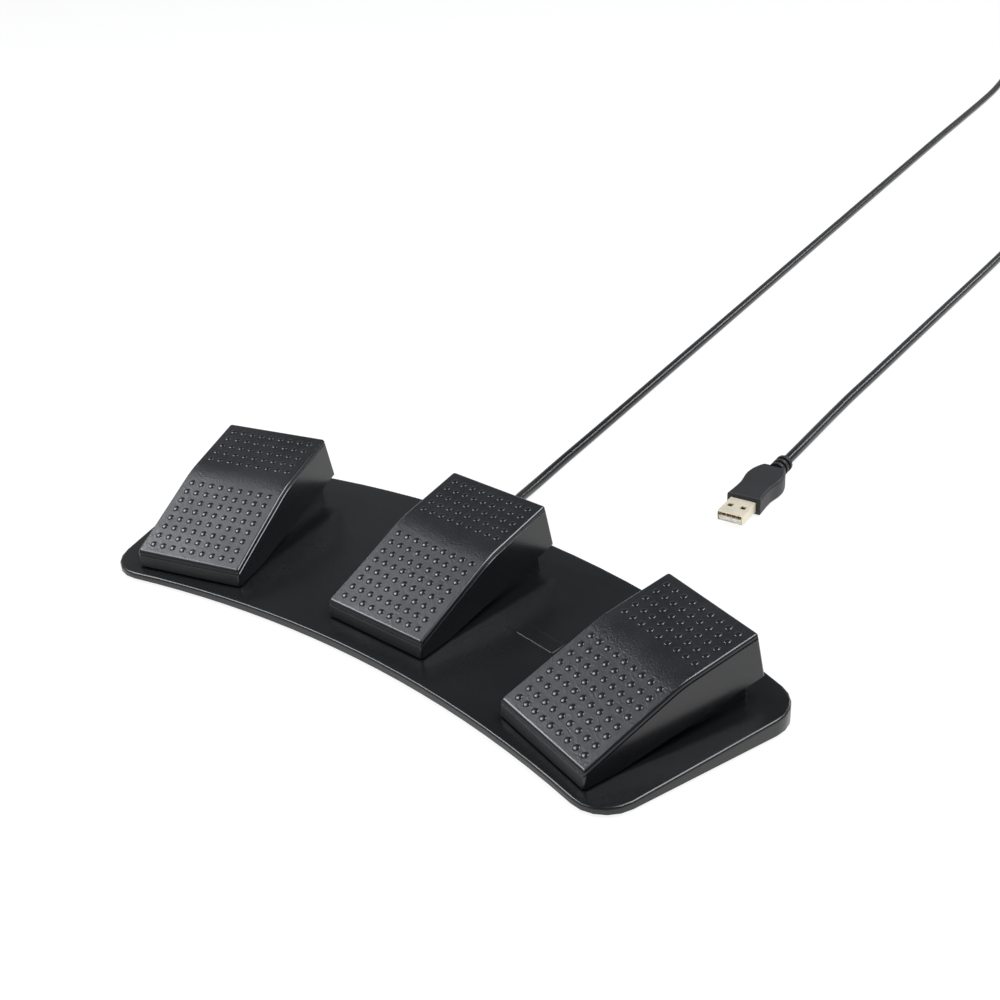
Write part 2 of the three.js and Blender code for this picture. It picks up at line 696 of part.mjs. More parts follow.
// Plate that closes the base, with pockets for the feet and the screw heads
const endFoot = nearEnd(endFootSideInset, endFootRearInset);
const frontFootX = halfSpan - frontFootSideInset;
const frontFootY = frontEdgeAt(frontFootX) + frontFootInset;
const padPlaces = [
  { name: 'foot_rear_left', x: -endFoot.x, y: endFoot.y },
  { name: 'foot_rear_right', x: endFoot.x, y: endFoot.y },
  { name: 'foot_front_left', x: -frontFootX, y: frontFootY },
  { name: 'foot_front_right', x: frontFootX, y: frontFootY },
  { name: 'foot_middle_rear', x: 0, y: rearEdgeAt(0) - rearFootInset },
  { name: 'foot_middle_front', x: 0, y: frontEdgeAt(0) + frontFootInset },
];

function basePlate() {
  const outline = baseOutline(rimWall + runningGap, plateFrontInset, 6, 3);
  const plate = toSolid(loft([ringAt(outline, level(rimBottom)), ringAt(outline, level(plateTop))]));
  const posts = [-1, 1].flatMap((across) => [-1, 1].map((along) => toSolid(post(
    boardPostRadius, rimBottom + plateThickness / 2, plateTop + boardPost,
    boardPlace.x + across * (boardLength / 2 - boardPostRadius),
    boardPlace.y + along * (boardWidth / 2 - boardPostRadius), screwSides,
  ))));
  const padPockets = padPlaces.map(({ x, y }) =>
    toSolid(post(padRadius + runningGap, rimBottom - cutOverrun, rimBottom + padSink, x, y)));
  const headPockets = screwPlaces.map(({ x, y }) => toSolid(post(
    screwHeadRadius + runningGap, rimBottom - cutOverrun, rimBottom + screwHeadHeight, x, y, screwSides)));
  const holes = screwPlaces.map(({ x, y }) => toSolid(post(
    screwThreadRadius + runningGap, rimBottom, plateTop + cutOverrun, x, y, screwSides)));
  return cutBy(joined([plate, ...posts]), [...padPockets, ...headPockets, ...holes]);
}

// Rubber foot with a rounded lower edge
function footPad() {
  const top = footProud + padSink - runningGap;
  const edge = footProud / 2;
  return turned([[0, 0], [padRadius - edge, 0], [padRadius, edge], [padRadius, top], [0, top]]);
}

// Countersunk-style screw whose head lies in the plate
function coverScrew() {
  const headTop = screwHeadHeight - runningGap;
  const socket = screwHeadHeight / 2;
  const profile = [
    [0, 0], [screwHeadRadius, 0], [screwHeadRadius, headTop], [screwThreadRadius, headTop],
    [screwThreadRadius, screwLength], [0, screwLength + screwThreadRadius / 2],
  ];
  const blade = screwThreadRadius / 4;
  const arm = screwHeadRadius * screwCrossShare;
  return cutBy(toSolid(turned(profile, screwSides)), [
    toSolid(box(-arm, arm, -blade, blade, -cutOverrun, socket)),
    toSolid(box(-blade, blade, -arm, arm, -cutOverrun, socket)),
  ]);
}

// Pedal cover: thin moulded cap with a groove under its top edge, and what hangs under its roof
function pedalCover() {
  const below = (drop) => (y) => topAt(y) - drop;
  const ringOf = (inset, drop) => pedalRing(below(drop), inset);
  const outer = toSolid(loft([
    pedalRing(skirtAt, 0),
    ringOf(0, coverEdgeRadius + grooveDrop + grooveWidth + grooveBevel),
    ringOf(grooveBevel, coverEdgeRadius + grooveDrop + grooveWidth),
    ringOf(grooveDepth, coverEdgeRadius + grooveDrop + grooveWidth),
    ringOf(grooveDepth, coverEdgeRadius + grooveDrop),
    ringOf(0, coverEdgeRadius + grooveDrop),
    ringOf(0, coverEdgeRadius),
    ...edgeRings(ringOf, coverEdgeRadius, 4),
  ], ruledCap));
  const inner = toSolid(loft([
    pedalRing((y) => skirtAt(y) - cutOverrun, coverWall),
    ringOf(coverWall, coverRoof),
  ], ruledCap));
  const shell = outer.subtract(inner);

  const ear = (hand) => {
    const near = knuckleHalfLength + runningGap * 2;
    const points = [
      ...arcPoints(-hingeFromRear, hingeHeight, knuckleRadius + runningGap, Math.PI, 2 * Math.PI, 10)
        .map((p) => [p.x, p.y]),
      [-hingeFromRear + knuckleRadius + runningGap, creaseHeight],
      [-hingeFromRear - knuckleRadius - runningGap, creaseHeight],
    ];
    const x0 = hand > 0 ? near : -near - earThickness;
    return toSolid(sideProfile(points, x0, x0 + earThickness));
  };
  const presser = toSolid(sideProfile([
    ...arcPoints(-presserFromRear, presserTip + presserRadius, presserRadius, Math.PI, 2 * Math.PI, 8)
      .map((p) => [p.x, p.y]),
    [-presserFromRear + presserRadius, rearTopHeight],
    [-presserFromRear - presserRadius, rearTopHeight],
  ], -presserWidth / 2, presserWidth / 2));
  const roofUnder = (y) => topAt(y) - coverRoof;
  const spigot = toSolid(post(spigotRadius, roofUnder(-springFromRear) - spigotLength, rearTopHeight,
    0, -springFromRear));
  const roofInside = pedestalTop - pedestalWall;
  const hook = (hand) => {
    const front = -hookFromRear - hookThickness / 2;
    const barbTop = roofInside - runningGap;
    const points = [
      [front, barbTop], [front - hookBarb, barbTop], [front, barbTop - hookBarbHeight],
      [front + hookThickness, barbTop - hookBarbHeight], [front + hookThickness, rearTopHeight],
      [front, rearTopHeight],
    ];
    return toSolid(sideProfile(points, hand * hookOffset - hookWidth / 2, hand * hookOffset + hookWidth / 2));
  };
  // The ribs stay clear of the pedestal when the pedal is pressed
  const ribFoot = (y) => pedestalTop + 2 * runningGap + (y + hingeFromRear) * Math.tan(pressAngle);
  const ribFront = -pedestalShoulderFromRear;
  const ribRear = -pedestalRearGap;
  const rib = (x) => toSolid(sideProfile([
    [ribFront, ribFoot(ribFront)], [ribRear, ribFoot(ribRear)], [ribRear, rearTopHeight],
    [ribFront, rearTopHeight],
  ], x - ribThickness / 2, x + ribThickness / 2));
  const hanging = joined([
    ear(-1), ear(1), presser, spigot, hook(-1), hook(1),
    rib(-ribInner), rib(ribInner), rib(-ribOuter), rib(ribOuter),
  ]).intersect(toSolid(loft([
    pedalRing((y) => skirtAt(y) - skirtRearHeight, coverWall / 2),
    ringOf(coverWall / 2, coverRoof / 2),
  ], ruledCap)));
  const bore = toSolid(crossBar(hingePinRadius + hingeBoreGap, -coverHalfWidthFront + coverWall,
    coverHalfWidthFront - coverWall, -hingeFromRear, hingeHeight));
  return shell.add(hanging.subtract(bore));
}

// Steel pin through the knuckle and both ears
const pinHalfLength = knuckleHalfLength + 2 * runningGap + earThickness;
const hingePin = () => crossBar(hingePinRadius, -pinHalfLength, pinHalfLength, -hingeFromRear, hingeHeight);

// Compression spring: one wire from the well's floor to the cover's roof
const springEndPitch = springWire + springEndGap;
const springFoot = springWellFloor + runningGap + springWire / 2;
const springHead = topAt(-springFromRear - springRadius) - coverRoof - runningGap - springWire / 2;

class SpringCurve extends THREE.Curve {
  getPoint(share, target = new Vector3()) {
    const turns = springCurls * share;
    const flat = 1 / springCurls;
    const lift = MathUtils.clamp((share - flat) / (1 - 2 * flat), 0, 1);
    const ends = MathUtils.clamp(share / flat, 0, 1) + MathUtils.clamp((share - 1 + flat) / flat, 0, 1);
    const angle = turns * 2 * Math.PI;
    const span = springHead - springFoot - 2 * springEndPitch;
    return target.set(springRadius * Math.cos(angle), springRadius * Math.sin(angle) - springFromRear,
      springFoot + springEndPitch * ends + span * lift);
  }
}

// A wound tube built ring by ring, so that its section never twists
function woundTube(points, radius, sides) {
  const positions = [];
  const indices = [];
  points.forEach((p, i) => {
    const before = points[Math.max(i - 1, 0)];
    const after = points[Math.min(i + 1, points.length - 1)];
    const heading = after.clone().sub(before).normalize();
    const sideways = new Vector3(heading.y, -heading.x, 0).normalize();
    const upward = sideways.clone().cross(heading).normalize();
    for (let k = 0; k < sides; k++) {
      const angle = ((k + 0.5) / sides) * 2 * Math.PI;
      const at = p.clone().addScaledVector(sideways, radius * Math.cos(angle))
        .addScaledVector(upward, radius * Math.sin(angle));
      positions.push(at.x, at.y, at.z);
    }
  });
  for (let i = 0; i < points.length - 1; i++) {
    for (let k = 0; k < sides; k++) {
      const a = i * sides + k;
      const b = i * sides + ((k + 1) % sides);
      indices.push(a, a + sides, b + sides, a, b + sides, b);
    }
  }
  const last = (points.length - 1) * sides;
  for (let k = 1; k < sides - 1; k++) {
    indices.push(0, k, k + 1);
    indices.push(last, last + k + 1, last + k);
  }
  return closedGeometry(positions, indices);
}

function returnSpring() {
  const steps = springCurls * springSteps;
  const curve = new SpringCurve();
  const points = Array.from({ length: steps + 1 }, (_, i) => curve.getPoint(i / steps));
  return woundTube(points, springWire / 2, 5);
}

// Snap switch body with its two fixing holes and three terminals
function switchBody() {
  const half = switchWidth / 2;
  const floor = switchTop - switchHeight;
  const body = toSolid(box(-half, half, switchFront, switchRear, floor, switchTop));
  const middle = switchFront + switchLength / 2;
  const terminals = [-1, 0, 1].map((place) => toSolid(box(
    -terminalWidth / 2, terminalWidth / 2,
    middle + place * terminalSpacing - terminalThickness / 2,
    middle + place * terminalSpacing + terminalThickness / 2,
    floor - terminalLength, floor + terminalLength / 2,
  )));
  const holes = [-1, 1].map((hand) => toSolid(crossBar(
    switchHoleRadius, -switchWidth, switchWidth, middle + (hand * switchHoleSpacing) / 2,
    floor + switchHoleRise, screwSides)));
  const buttonHole = toSolid(post(buttonRadius + runningGap / 2, switchTop - buttonLength,
    switchTop + cutOverrun, 0, pivotY + buttonFromPivot, screwSides));
  return cutBy(joined([body, ...terminals]), [...holes, buttonHole]);
}

// Button of the snap switch, under the lever
const buttonTop = pivotZ + (buttonFromPivot - buttonRadius) * Math.tan(leverRestAngle)
  - leverThickness / 2 / Math.cos(leverRestAngle) - runningGap;

function switchButton() {
  const foot = switchTop - buttonLength + runningGap / 2 + buttonTravel;
  const geometry = turned([
    [0, foot], [buttonRadius, foot], [buttonRadius, buttonTop - buttonRadius / 3],
    [buttonRadius * 0.6, buttonTop], [0, buttonTop],
  ], screwSides);
  return geometry.translate(0, pivotY + buttonFromPivot, 0);
}

// Lever of the snap switch: a strip with a rolled end at its pivot, drawn level and then turned up
function switchLever() {
  const hook = arcPoints(0, 0, leverHookRadius, Math.PI / 6, (11 * Math.PI) / 6, 8).map((p) => [p.x, p.y]);
  const half = leverThickness / 2;
  const points = [
    ...hook, [leverLength - leverHookRadius, -half], [leverLength, 0], [leverLength - leverHookRadius, half],
  ];
  return sideProfile(points, -leverWidth / 2, leverWidth / 2);
}

// Control board, its chip and the socket for the cable
const boardBottom = plateTop + boardPost + hingeBoreGap;
const boardTop = boardBottom + boardThickness;

const controlBoard = () => box(
  boardPlace.x - boardLength / 2, boardPlace.x + boardLength / 2,
  boardPlace.y - boardWidth / 2, boardPlace.y + boardWidth / 2, boardBottom, boardTop,
);

const onBoard = (size, x, y) => box(
  x - size.x / 2, x + size.x / 2, y - size.y / 2, y + size.y / 2,
  boardTop + hingeBoreGap / 2, boardTop + hingeBoreGap / 2 + size.z,
);

// Rubber grommet: grooved sleeve outside, waist in the wall, square flange inside
function grommet() {
  const flangeFace = -rimWall - runningGap;
  const flangeTop = deckAt(rearEdgeAtExit - rimWall - rimLedge) - deckWall - cableRise - runningGap;
  const sleeve = toSolid(turned([
    [0, flangeFace - grommetInside], [grommetInsideRadius, flangeFace - grommetInside],
    [grommetInsideRadius, flangeFace], [grommetRadius, flangeFace], [grommetRadius, rimWall],
    [grommetEndRadius, grommetOutside], [0, grommetOutside],
  ]).rotateX(-Math.PI / 2));
  const flange = toSolid(box(-grommetFlangeHalf, grommetFlangeHalf, flangeFace - grommetFlangeLength,
    flangeFace, plateTop + runningGap - cableRise, flangeTop));
  const pitch = (grommetOutside - rimWall) / (grommetRibs + 1);
  const grooves = Array.from({ length: grommetRibs }, (_, i) => {
    const at = rimWall + pitch * (i + 1);
    const disc = new THREE.CylinderGeometry(2 * grommetRadius, 2 * grommetRadius, pitch / 3, roundSides);
    const core = new THREE.CylinderGeometry(grommetRadius - grommetGrooveDepth,
      grommetRadius - grommetGrooveDepth, pitch, roundSides);
    return toSolid(disc.translate(0, at, 0)).subtract(toSolid(core.translate(0, at, 0)));
  });
  return cutBy(sleeve.add(flange), grooves);
}

// Plug: body, ribbed relief, shell, tongue and contacts, drawn along +Y with the shell's mouth at the far end
function plugBody() {
  const halves = [
    bodyFrontHalf, bodyWaistHalf, bodyBulgeHalf, bodyBulgeHalf * bodyBulgeEndShare, bodyShoulderHalf,
    bodyEndHalf,
  ];
  const stations = halves.map((half, i) => new Vector2(half, -bodyLength * bodyStationShares[i]));
  const curve = new THREE.SplineCurve(stations);
  const side = curve.getPoints(14);
  const ring = (inset, z) => {
    const right = [...side].reverse().map((p, i, all) => {
      const end = i === 0 ? inset : i === all.length - 1 ? -inset : 0;
      return new Vector3(p.x - inset, p.y + end, z);
    });
    return [...right, ...[...right].reverse().map((p) => new Vector3(-p.x, p.y, p.z))];
  };
  const half = bodyThickness / 2;
  const upper = edgeRings((inset, drop) => ring(inset, half - drop), bodyEdgeRadius, 3);
  const lower = [...edgeRings((inset, drop) => ring(inset, drop - half), bodyEdgeRadius, 3)].reverse();
  return loft([...lower, ring(0, bodyEdgeRadius - half), ring(0, half - bodyEdgeRadius), ...upper], ruledCap);
}

function plugRelief() {
  const pitch = reliefLength / (reliefRibs + reliefRibShare);
  const profile = [[0, 0], [reliefCoreRadius, 0]];
  for (let i = 0; i < reliefRibs; i++) {
    const start = pitch * (i + reliefRibShare);
    const end = start + pitch * reliefRibShare;
    profile.push([reliefCoreRadius, start], [reliefRibRadius, start], [reliefRibRadius, end]);
    profile.push([reliefCoreRadius, end]);
  }
  profile.push([reliefCoreRadius, reliefLength], [0, reliefLength]);
  return turned(profile).rotateX(Math.PI / 2).translate(0, -bodyLength - runningGap, 0);
}

function plugShell() {
  const half = shellWidth / 2;
  const up = shellHeight / 2;
  return cutBy(toSolid(box(-half, half, runningGap, shellLength, -up, up)), [
    toSolid(box(-half + shellWall, half - shellWall, runningGap + shellWall, shellLength + cutOverrun,
      -up + shellWall, up - shellWall)),
    ...[-1, 1].map((hand) => toSolid(box(
      (hand * windowSpacing) / 2 - windowSize / 2, (hand * windowSpacing) / 2 + windowSize / 2,
      windowFromFace - windowSize / 2, windowFromFace + windowSize / 2, -shellHeight, shellHeight))),
  ]);
}

const tongueBottom = -shellHeight / 2 + shellWall + runningGap / 3;
const plugTongue = () => {
  const half = shellWidth / 2 - shellWall - runningGap;
  return box(-half, half, shellWall + 2 * runningGap, shellLength - runningGap, tongueBottom,
    tongueBottom + tongueThickness);
};

const plugContact = (index) => {
  const x = (index - 1.5) * contactSpacing;
  const bottom = tongueBottom + tongueThickness + contactThickness / 2;
  return box(x - contactWidth / 2, x + contactWidth / 2, shellLength - runningGap - contactLength,
    shellLength - 2 * runningGap, bottom, bottom + contactThickness);
};

// Coil: spirals in on the floor, climbs in the half turn where the spiral reverses, and spirals out on top
function coilPoints() {
  const entryAngle = Math.atan2(coilEntryHeading.y, coilEntryHeading.x) + Math.PI / 2;
  const count = Math.round(coilTurns * coilSteps);
  const middle = coilTurns / 2;
  const points = Array.from({ length: count + 1 }, (_, i) => {
    const turns = (i / count) * coilTurns;
    const depth = middle - Math.abs(turns - middle);
    const climb = MathUtils.smoothstep(turns, middle - coilClimbTurns / 2, middle + coilClimbTurns / 2);
    const radius = coilRadius - coilStep * depth;
    const angle = entryAngle - turns * 2 * Math.PI;
    return new Vector3(coilCentre.x + radius * Math.cos(angle), coilCentre.y + radius * Math.sin(angle),
      cableRadius + coilRise * climb);
  });
  const first = points[0].clone().sub(points[1]).setZ(0).normalize();
  const last = points[count].clone().sub(points[count - 1]).setZ(0).normalize();
  return [
    points[0].clone().addScaledVector(first, 2 * cableRadius), ...points,
    points[count].clone().addScaledVector(last, 2 * cableRadius),
  ];
}

const coilLine = coilPoints();
const coilStart = coilLine[0];
const coilEnd = coilLine[coilLine.length - 1];

function leastSelfGap(points, radius, apart) {
  let least = Infinity;
  points.forEach((a, i) => points.forEach((b, j) => {
    if (j - i >= apart) least = Math.min(least, a.distanceTo(b) - 2 * radius);
  }));
  return least;
}
const coilGap = leastSelfGap(coilLine, cableRadius, coilSteps / 2);
console.log('least gap between the turns of the coil', coilGap.toFixed(2));

// Cable stretches
const curveThrough = (points) =>
  new THREE.CatmullRomCurve3(points.map(([x, y, z]) => new Vector3(x, y, z)), false, 'centripetal');

function routeOut() {
  const heading = coilLine[0].clone().sub(coilLine[1]).normalize();
  const end = coilStart.clone().addScaledVector(heading, runningGap);
  const before = end.clone().addScaledVector(heading, 8 * cableRadius);
  const grommetEnd = new Vector3(0, grommetOutside + runningGap, 0).applyMatrix4(grommetFrame);
  const grommetNext = new Vector3(0, grommetOutside + 3 * cableRadius, 0).applyMatrix4(grommetFrame);
  return curveThrough([
    grommetEnd.toArray(), grommetNext.toArray(), ...outRoute, before.toArray(), end.toArray(),
  ]);
}

const plugFrame = new Matrix4().makeTranslation(plugPlace.x, plugPlace.y, plugRise)
  .multiply(new Matrix4().makeRotationZ(Math.atan2(plugHeading.y, plugHeading.x) - Math.PI / 2));

function routeBack() {
  const heading = coilEnd.clone().sub(coilLine[coilLine.length - 2]).normalize();
  const start = coilEnd.clone().addScaledVector(heading, runningGap);
  const next = coilEnd.clone().addScaledVector(heading, 6 * cableRadius);
  const plugEnd = new Vector3(0, -bodyLength - reliefLength - 2 * runningGap, 0).applyMatrix4(plugFrame);
  const plugNext = new Vector3(0, -bodyLength - reliefLength - 6 * cableRadius, 0).applyMatrix4(plugFrame);
  return curveThrough([
    start.toArray(), next.toArray(),
    ...backRoute,
    plugNext.toArray(), plugEnd.toArray(),
  ]);
}

// Scene
const group = new THREE.Group();
const base = new THREE.Group();
const deck = new THREE.Group();
base.add(deck);
group.add(base);

function piece(name, shape, material, parent = base) {
  const geometry = shape.isBufferGeometry ? shape : toGeometry(shape);
  const mesh = new THREE.Mesh(geometry, material);
  mesh.name = name;
  parent.add(mesh);
  return mesh;
}

const baseY = baseOutline(0).map((p) => p.y);
base.position.set(0, -(Math.min(...baseY) + Math.max(...baseY)) / 2, 0);
deck.position.set(0, 0, deckRise);
deck.rotation.x = wedgeAngle;

piece('base_shell', baseShell(), finishes.deck);
piece('base_plate', basePlate(), finishes.plate);
const pad = footPad();
padPlaces.forEach(({ name, x, y }) => piece(name, pad, finishes.rubber).position.set(x, y, 0));
const screw = coverScrew();
screwPlaces.forEach(({ name, x, y }) =>
  piece(name, screw, finishes.steel).position.set(x, y, rimBottom));

const cover = toGeometry(pedalCover());
const spring = returnSpring();
const body = toGeometry(switchBody());
pedalPlaces.forEach((place) => {
  const unit = new THREE.Group();
  unit.position.copy(place.position);
  unit.rotation.z = place.turn;
  deck.add(unit);
  piece(`${place.side}_pedal_cover`, cover, finishes.cover, unit);
  piece(`${place.side}_hinge_pin`, hingePin(), finishes.steel, unit);
  piece(`${place.side}_return_spring`, spring, finishes.spring, unit);
  piece(`${place.side}_switch_body`, body, finishes.switchCase, unit);
  piece(`${place.side}_switch_button`, switchButton(), finishes.button, unit);
  const lever = piece(`${place.side}_switch_lever`, switchLever(), finishes.steel, unit);
  lever.position.set(0, pivotY, pivotZ);
  lever.rotation.x = leverRestAngle;
});

piece('control_board', controlBoard(), finishes.board);
piece('controller_chip', onBoard(chipSize, boardPlace.x - boardMargin, boardPlace.y - boardMargin),
  finishes.chip);
piece('board_socket', onBoard(socketSize, boardPlace.x + boardLength / 2 - socketSize.x / 2 - boardMargin,
  boardPlace.y + boardWidth / 2 - socketSize.y / 2 - boardMargin), finishes.socket);

const sleeve = piece('cable_grommet', grommet(), finishes.rubber);
sleeve.position.set(exitX, rearEdgeAtExit, cableRise);
sleeve.rotation.z = grommetTurn;

piece('cable_out', tube(routeOut(), cableRadius, cableSides, 44), finishes.jacket);
piece('cable_coil', woundTube(coilLine, cableRadius, coilSides), finishes.jacket);
piece('cable_back', tube(routeBack(), cableRadius, cableSides, 36), finishes.jacket);

const plug = new THREE.Group();
plug.position.set(plugPlace.x, plugPlace.y, plugRise);
plug.rotation.z = Math.atan2(plugHeading.y, plugHeading.x) - Math.PI / 2;
base.add(plug);
piece('plug_body', plugBody(), finishes.plug, plug);
piece('plug_strain_relief', plugRelief(), finishes.plug, plug);
piece('plug_shell', plugShell(), finishes.shell, plug);
piece('plug_tongue', plugTongue(), finishes.tongue, plug);
[0, 1, 2, 3].forEach((index) =>
  piece(`plug_contact_${index + 1}`, plugContact(index), finishes.contact, plug));

export default group;
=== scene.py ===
# %% [markdown]
# # A foot switch with three pedals
# This lesson dresses a finished CAD model of a foot switch for a computer. The real thing is a thin
# wedge of moulded plastic with three hollow pedals hinged at their fronts. Under each pedal sit a spring
# and a small lever switch, and one long cable runs from the rear wall to a plug.
# The CAD model stays the fixed frame: nothing here moves or resizes it. Blender adds what the eye looks
# for, which is smooth shading, moulded grain, the raised dots of the tread and each material's finish.

# %% Load the fixed frame
import math

import bmesh
import bpy
from mathutils import Matrix, Vector


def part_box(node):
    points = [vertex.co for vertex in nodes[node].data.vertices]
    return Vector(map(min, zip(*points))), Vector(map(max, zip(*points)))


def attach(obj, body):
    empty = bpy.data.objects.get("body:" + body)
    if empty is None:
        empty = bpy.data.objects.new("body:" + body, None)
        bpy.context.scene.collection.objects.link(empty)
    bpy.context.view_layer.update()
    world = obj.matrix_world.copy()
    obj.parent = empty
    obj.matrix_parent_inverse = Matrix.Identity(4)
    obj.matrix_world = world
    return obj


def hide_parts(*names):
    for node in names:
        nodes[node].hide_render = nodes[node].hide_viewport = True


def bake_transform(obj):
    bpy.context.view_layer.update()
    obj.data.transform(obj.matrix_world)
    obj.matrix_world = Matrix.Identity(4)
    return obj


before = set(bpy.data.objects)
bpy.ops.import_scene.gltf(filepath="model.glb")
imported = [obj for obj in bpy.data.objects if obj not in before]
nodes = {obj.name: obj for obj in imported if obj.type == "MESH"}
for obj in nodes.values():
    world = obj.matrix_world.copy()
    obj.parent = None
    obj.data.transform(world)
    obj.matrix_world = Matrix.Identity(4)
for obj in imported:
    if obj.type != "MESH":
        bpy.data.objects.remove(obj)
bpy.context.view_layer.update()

# %% [markdown]
# ## Two small helpers
# Colours are given as sRGB hex values, while shaders calculate in linear light, so one function
# turns the first into the second. Another adds a node to any tree and connects it in the same line,
# which keeps a node tree readable from top to bottom. Blender measures in metres, and one constant lets
# the rest of the lesson speak in millimetres, as a mould maker does.

# %% Helpers for lengths, colours and nodes
MM = 0.001


def linear(hex_colour):
    channels = [int(hex_colour[i:i + 2], 16) / 255 for i in (0, 2, 4)]
    return [c / 12.92 if c <= 0.04045 else ((c + 0.055) / 1.055) ** 2.4 for c in channels] + [1.0]


def add(tree, kind, inputs=None, **settings):
    node = tree.nodes.new(kind)
    for name, value in settings.items():
        setattr(node, name, value)
    for socket, value in (inputs or {}).items():
        if isinstance(value, bpy.types.NodeSocket):
            tree.links.new(value, node.inputs[socket])
        else:
            node.inputs[socket].default_value = value
    return node


print("mid grey 808080 in linear light:", round(linear("808080")[0], 3))

# %% [markdown]
# ## The camera
# The photograph was taken from the front right, looking down at about thirty degrees, and slightly
# rolled. Its place was solved from the corners of the pedals and the edges of the base. A camera object
# looks along its own -Z axis with +Y up, so its matrix is simply made of three directions and a place.

# %% Camera at the photograph's viewing angle
camera_place = Vector((383.20, -370.10, 348.05)) * MM
camera_right = Vector((0.75303, 0.65601, -0.05089)).normalized()
camera_forward = Vector((-0.59171, 0.64133, -0.48844)).normalized()
camera_up = camera_right.cross(camera_forward).normalized()

camera_data = bpy.data.cameras.new("photo_camera")
camera_data.sensor_fit = "HORIZONTAL"
camera_data.sensor_width = 36  # mm, as is the lens
camera_data.lens = 56.226
camera = bpy.data.objects.new("photo_camera", camera_data)
bpy.context.scene.collection.objects.link(camera)
camera_turn = Matrix((camera_right, camera_up, -camera_forward)).transposed()
camera.matrix_world = Matrix.Translation(camera_place) @ camera_turn.to_4x4()
bpy.context.scene.camera = camera
print("camera height:", round(camera_place.z / MM), "mm, lens:", round(camera_data.lens, 1), "mm")

# %% [markdown]
# ## The floor
# The device stands on white paper. A sheet that is only white would need so much light that the dark
# plastic beside it turned grey, so the floor glows by itself for the camera and for mirror rays, which
# gives the gloss something white to show. To all other rays it is a plain pale sheet. Some of what the
# camera sees is still a diffuse surface, and that part carries the object's soft shadow.

# %% Floor sheet
scene = bpy.context.scene
scene.view_settings.view_transform = "Standard"

floor_reach = 4.0
floor_drop = 0.05 * MM
floor_corners = [(x * floor_reach, y * floor_reach, 0) for x, y in ((-1, -1), (1, -1), (1, 1), (-1, 1))]
floor_mesh = bpy.data.meshes.new("floor")
floor_mesh.from_pydata(floor_corners, [], [(0, 1, 2, 3)])
floor = bpy.data.objects.new("floor", floor_mesh)
scene.collection.objects.link(floor)
floor.location.z = -floor_drop
print("floor:", 2 * floor_reach, "m wide")

# %% White paper that keeps a shadow
bounce_grey, shadow_grey = 0.8, 0.15
glow_strength = 0.88

paper = bpy.data.materials.new("white paper floor")
paper.use_nodes = True
tree = paper.node_tree
tree.nodes.clear()
rays = add(tree, "ShaderNodeLightPath")
camera_or_mirror = add(tree, "ShaderNodeMath", {
    0: rays.outputs["Is Camera Ray"], 1: rays.outputs["Is Glossy Ray"]}, operation="MAXIMUM")
seen = add(tree, "ShaderNodeMath", {
    0: camera_or_mirror.outputs[0], 1: rays.outputs["Is Transmission Ray"]}, operation="MAXIMUM")
bounce = add(tree, "ShaderNodeBsdfDiffuse", {"Color": (bounce_grey, bounce_grey, bounce_grey, 1)})
shadow = add(tree, "ShaderNodeBsdfDiffuse", {"Color": (shadow_grey, shadow_grey, shadow_grey, 1)})
glow = add(tree, "ShaderNodeEmission", {"Color": (1, 1, 1, 1), "Strength": glow_strength})
white = add(tree, "ShaderNodeAddShader", {0: shadow.outputs[0], 1: glow.outputs[0]})
either = add(tree, "ShaderNodeMixShader", {
    0: seen.outputs[0], 1: bounce.outputs[0], 2: white.outputs[0]})
add(tree, "ShaderNodeOutputMaterial", {"Surface": either.outputs[0]})
floor_mesh.materials.append(paper)
print("nodes in the floor's material:", len(tree.nodes))

# %% [markdown]
# ## The light
# Dark plastic shows its shape almost only by what it mirrors. The rear panels of the pedals and the deck
# mirror the sky, which is kept dark overhead and dim near the horizon, so they stay nearly black.
# A softbox at the left stands just beside the place that the steep front slopes mirror towards the
# camera, so they turn mid grey and each dot catches a bright spot. A weaker one in front lights the
# rounded front edges. Another high at the right draws the bright lines along the pedals' side edges, and
# a tall strip behind puts the highlight on the cable.

# %% Sky
near_horizon, overhead = 0.42, 0.06
fade_from, fade_to = 0.5, 0.62  # upward part of a direction, 0 at the horizon and 1 straight up

world = bpy.data.worlds.new("studio")
scene.world = world
world.use_nodes = True
sky = world.node_tree
heading = add(sky, "ShaderNodeTexCoord").outputs["Generated"]
upward = add(sky, "ShaderNodeSeparateXYZ", {"Vector": heading}).outputs["Z"]
fade = add(sky, "ShaderNodeMapRange", {
    "Value": upward, "From Min": fade_from, "From Max": fade_to,
    "To Min": near_horizon, "To Max": overhead}, interpolation_type="SMOOTHSTEP")
backdrop = sky.nodes["Background"]
backdrop.inputs["Color"].default_value = linear("f2f4f7")
sky.links.new(fade.outputs["Result"], backdrop.inputs["Strength"])
print("sky strength from", near_horizon, "down to", overhead)

# %% Softboxes
FAINTLY_BLUE = (0.93, 0.95, 1.0)


def softbox(name, toward, distance, width, height, radiance):
    lamp = bpy.data.lights.new(name, "AREA")
    lamp.shape = "RECTANGLE"
    lamp.size = width
    lamp.size_y = height
    lamp.energy = radiance * math.pi * width * height
    lamp.color = FAINTLY_BLUE
    holder = bpy.data.objects.new(name, lamp)
    scene.collection.objects.link(holder)
    direction = Vector(toward).normalized()
    holder.location = direction * distance
    holder.rotation_euler = direction.to_track_quat("Z", "Y").to_euler()
    return holder


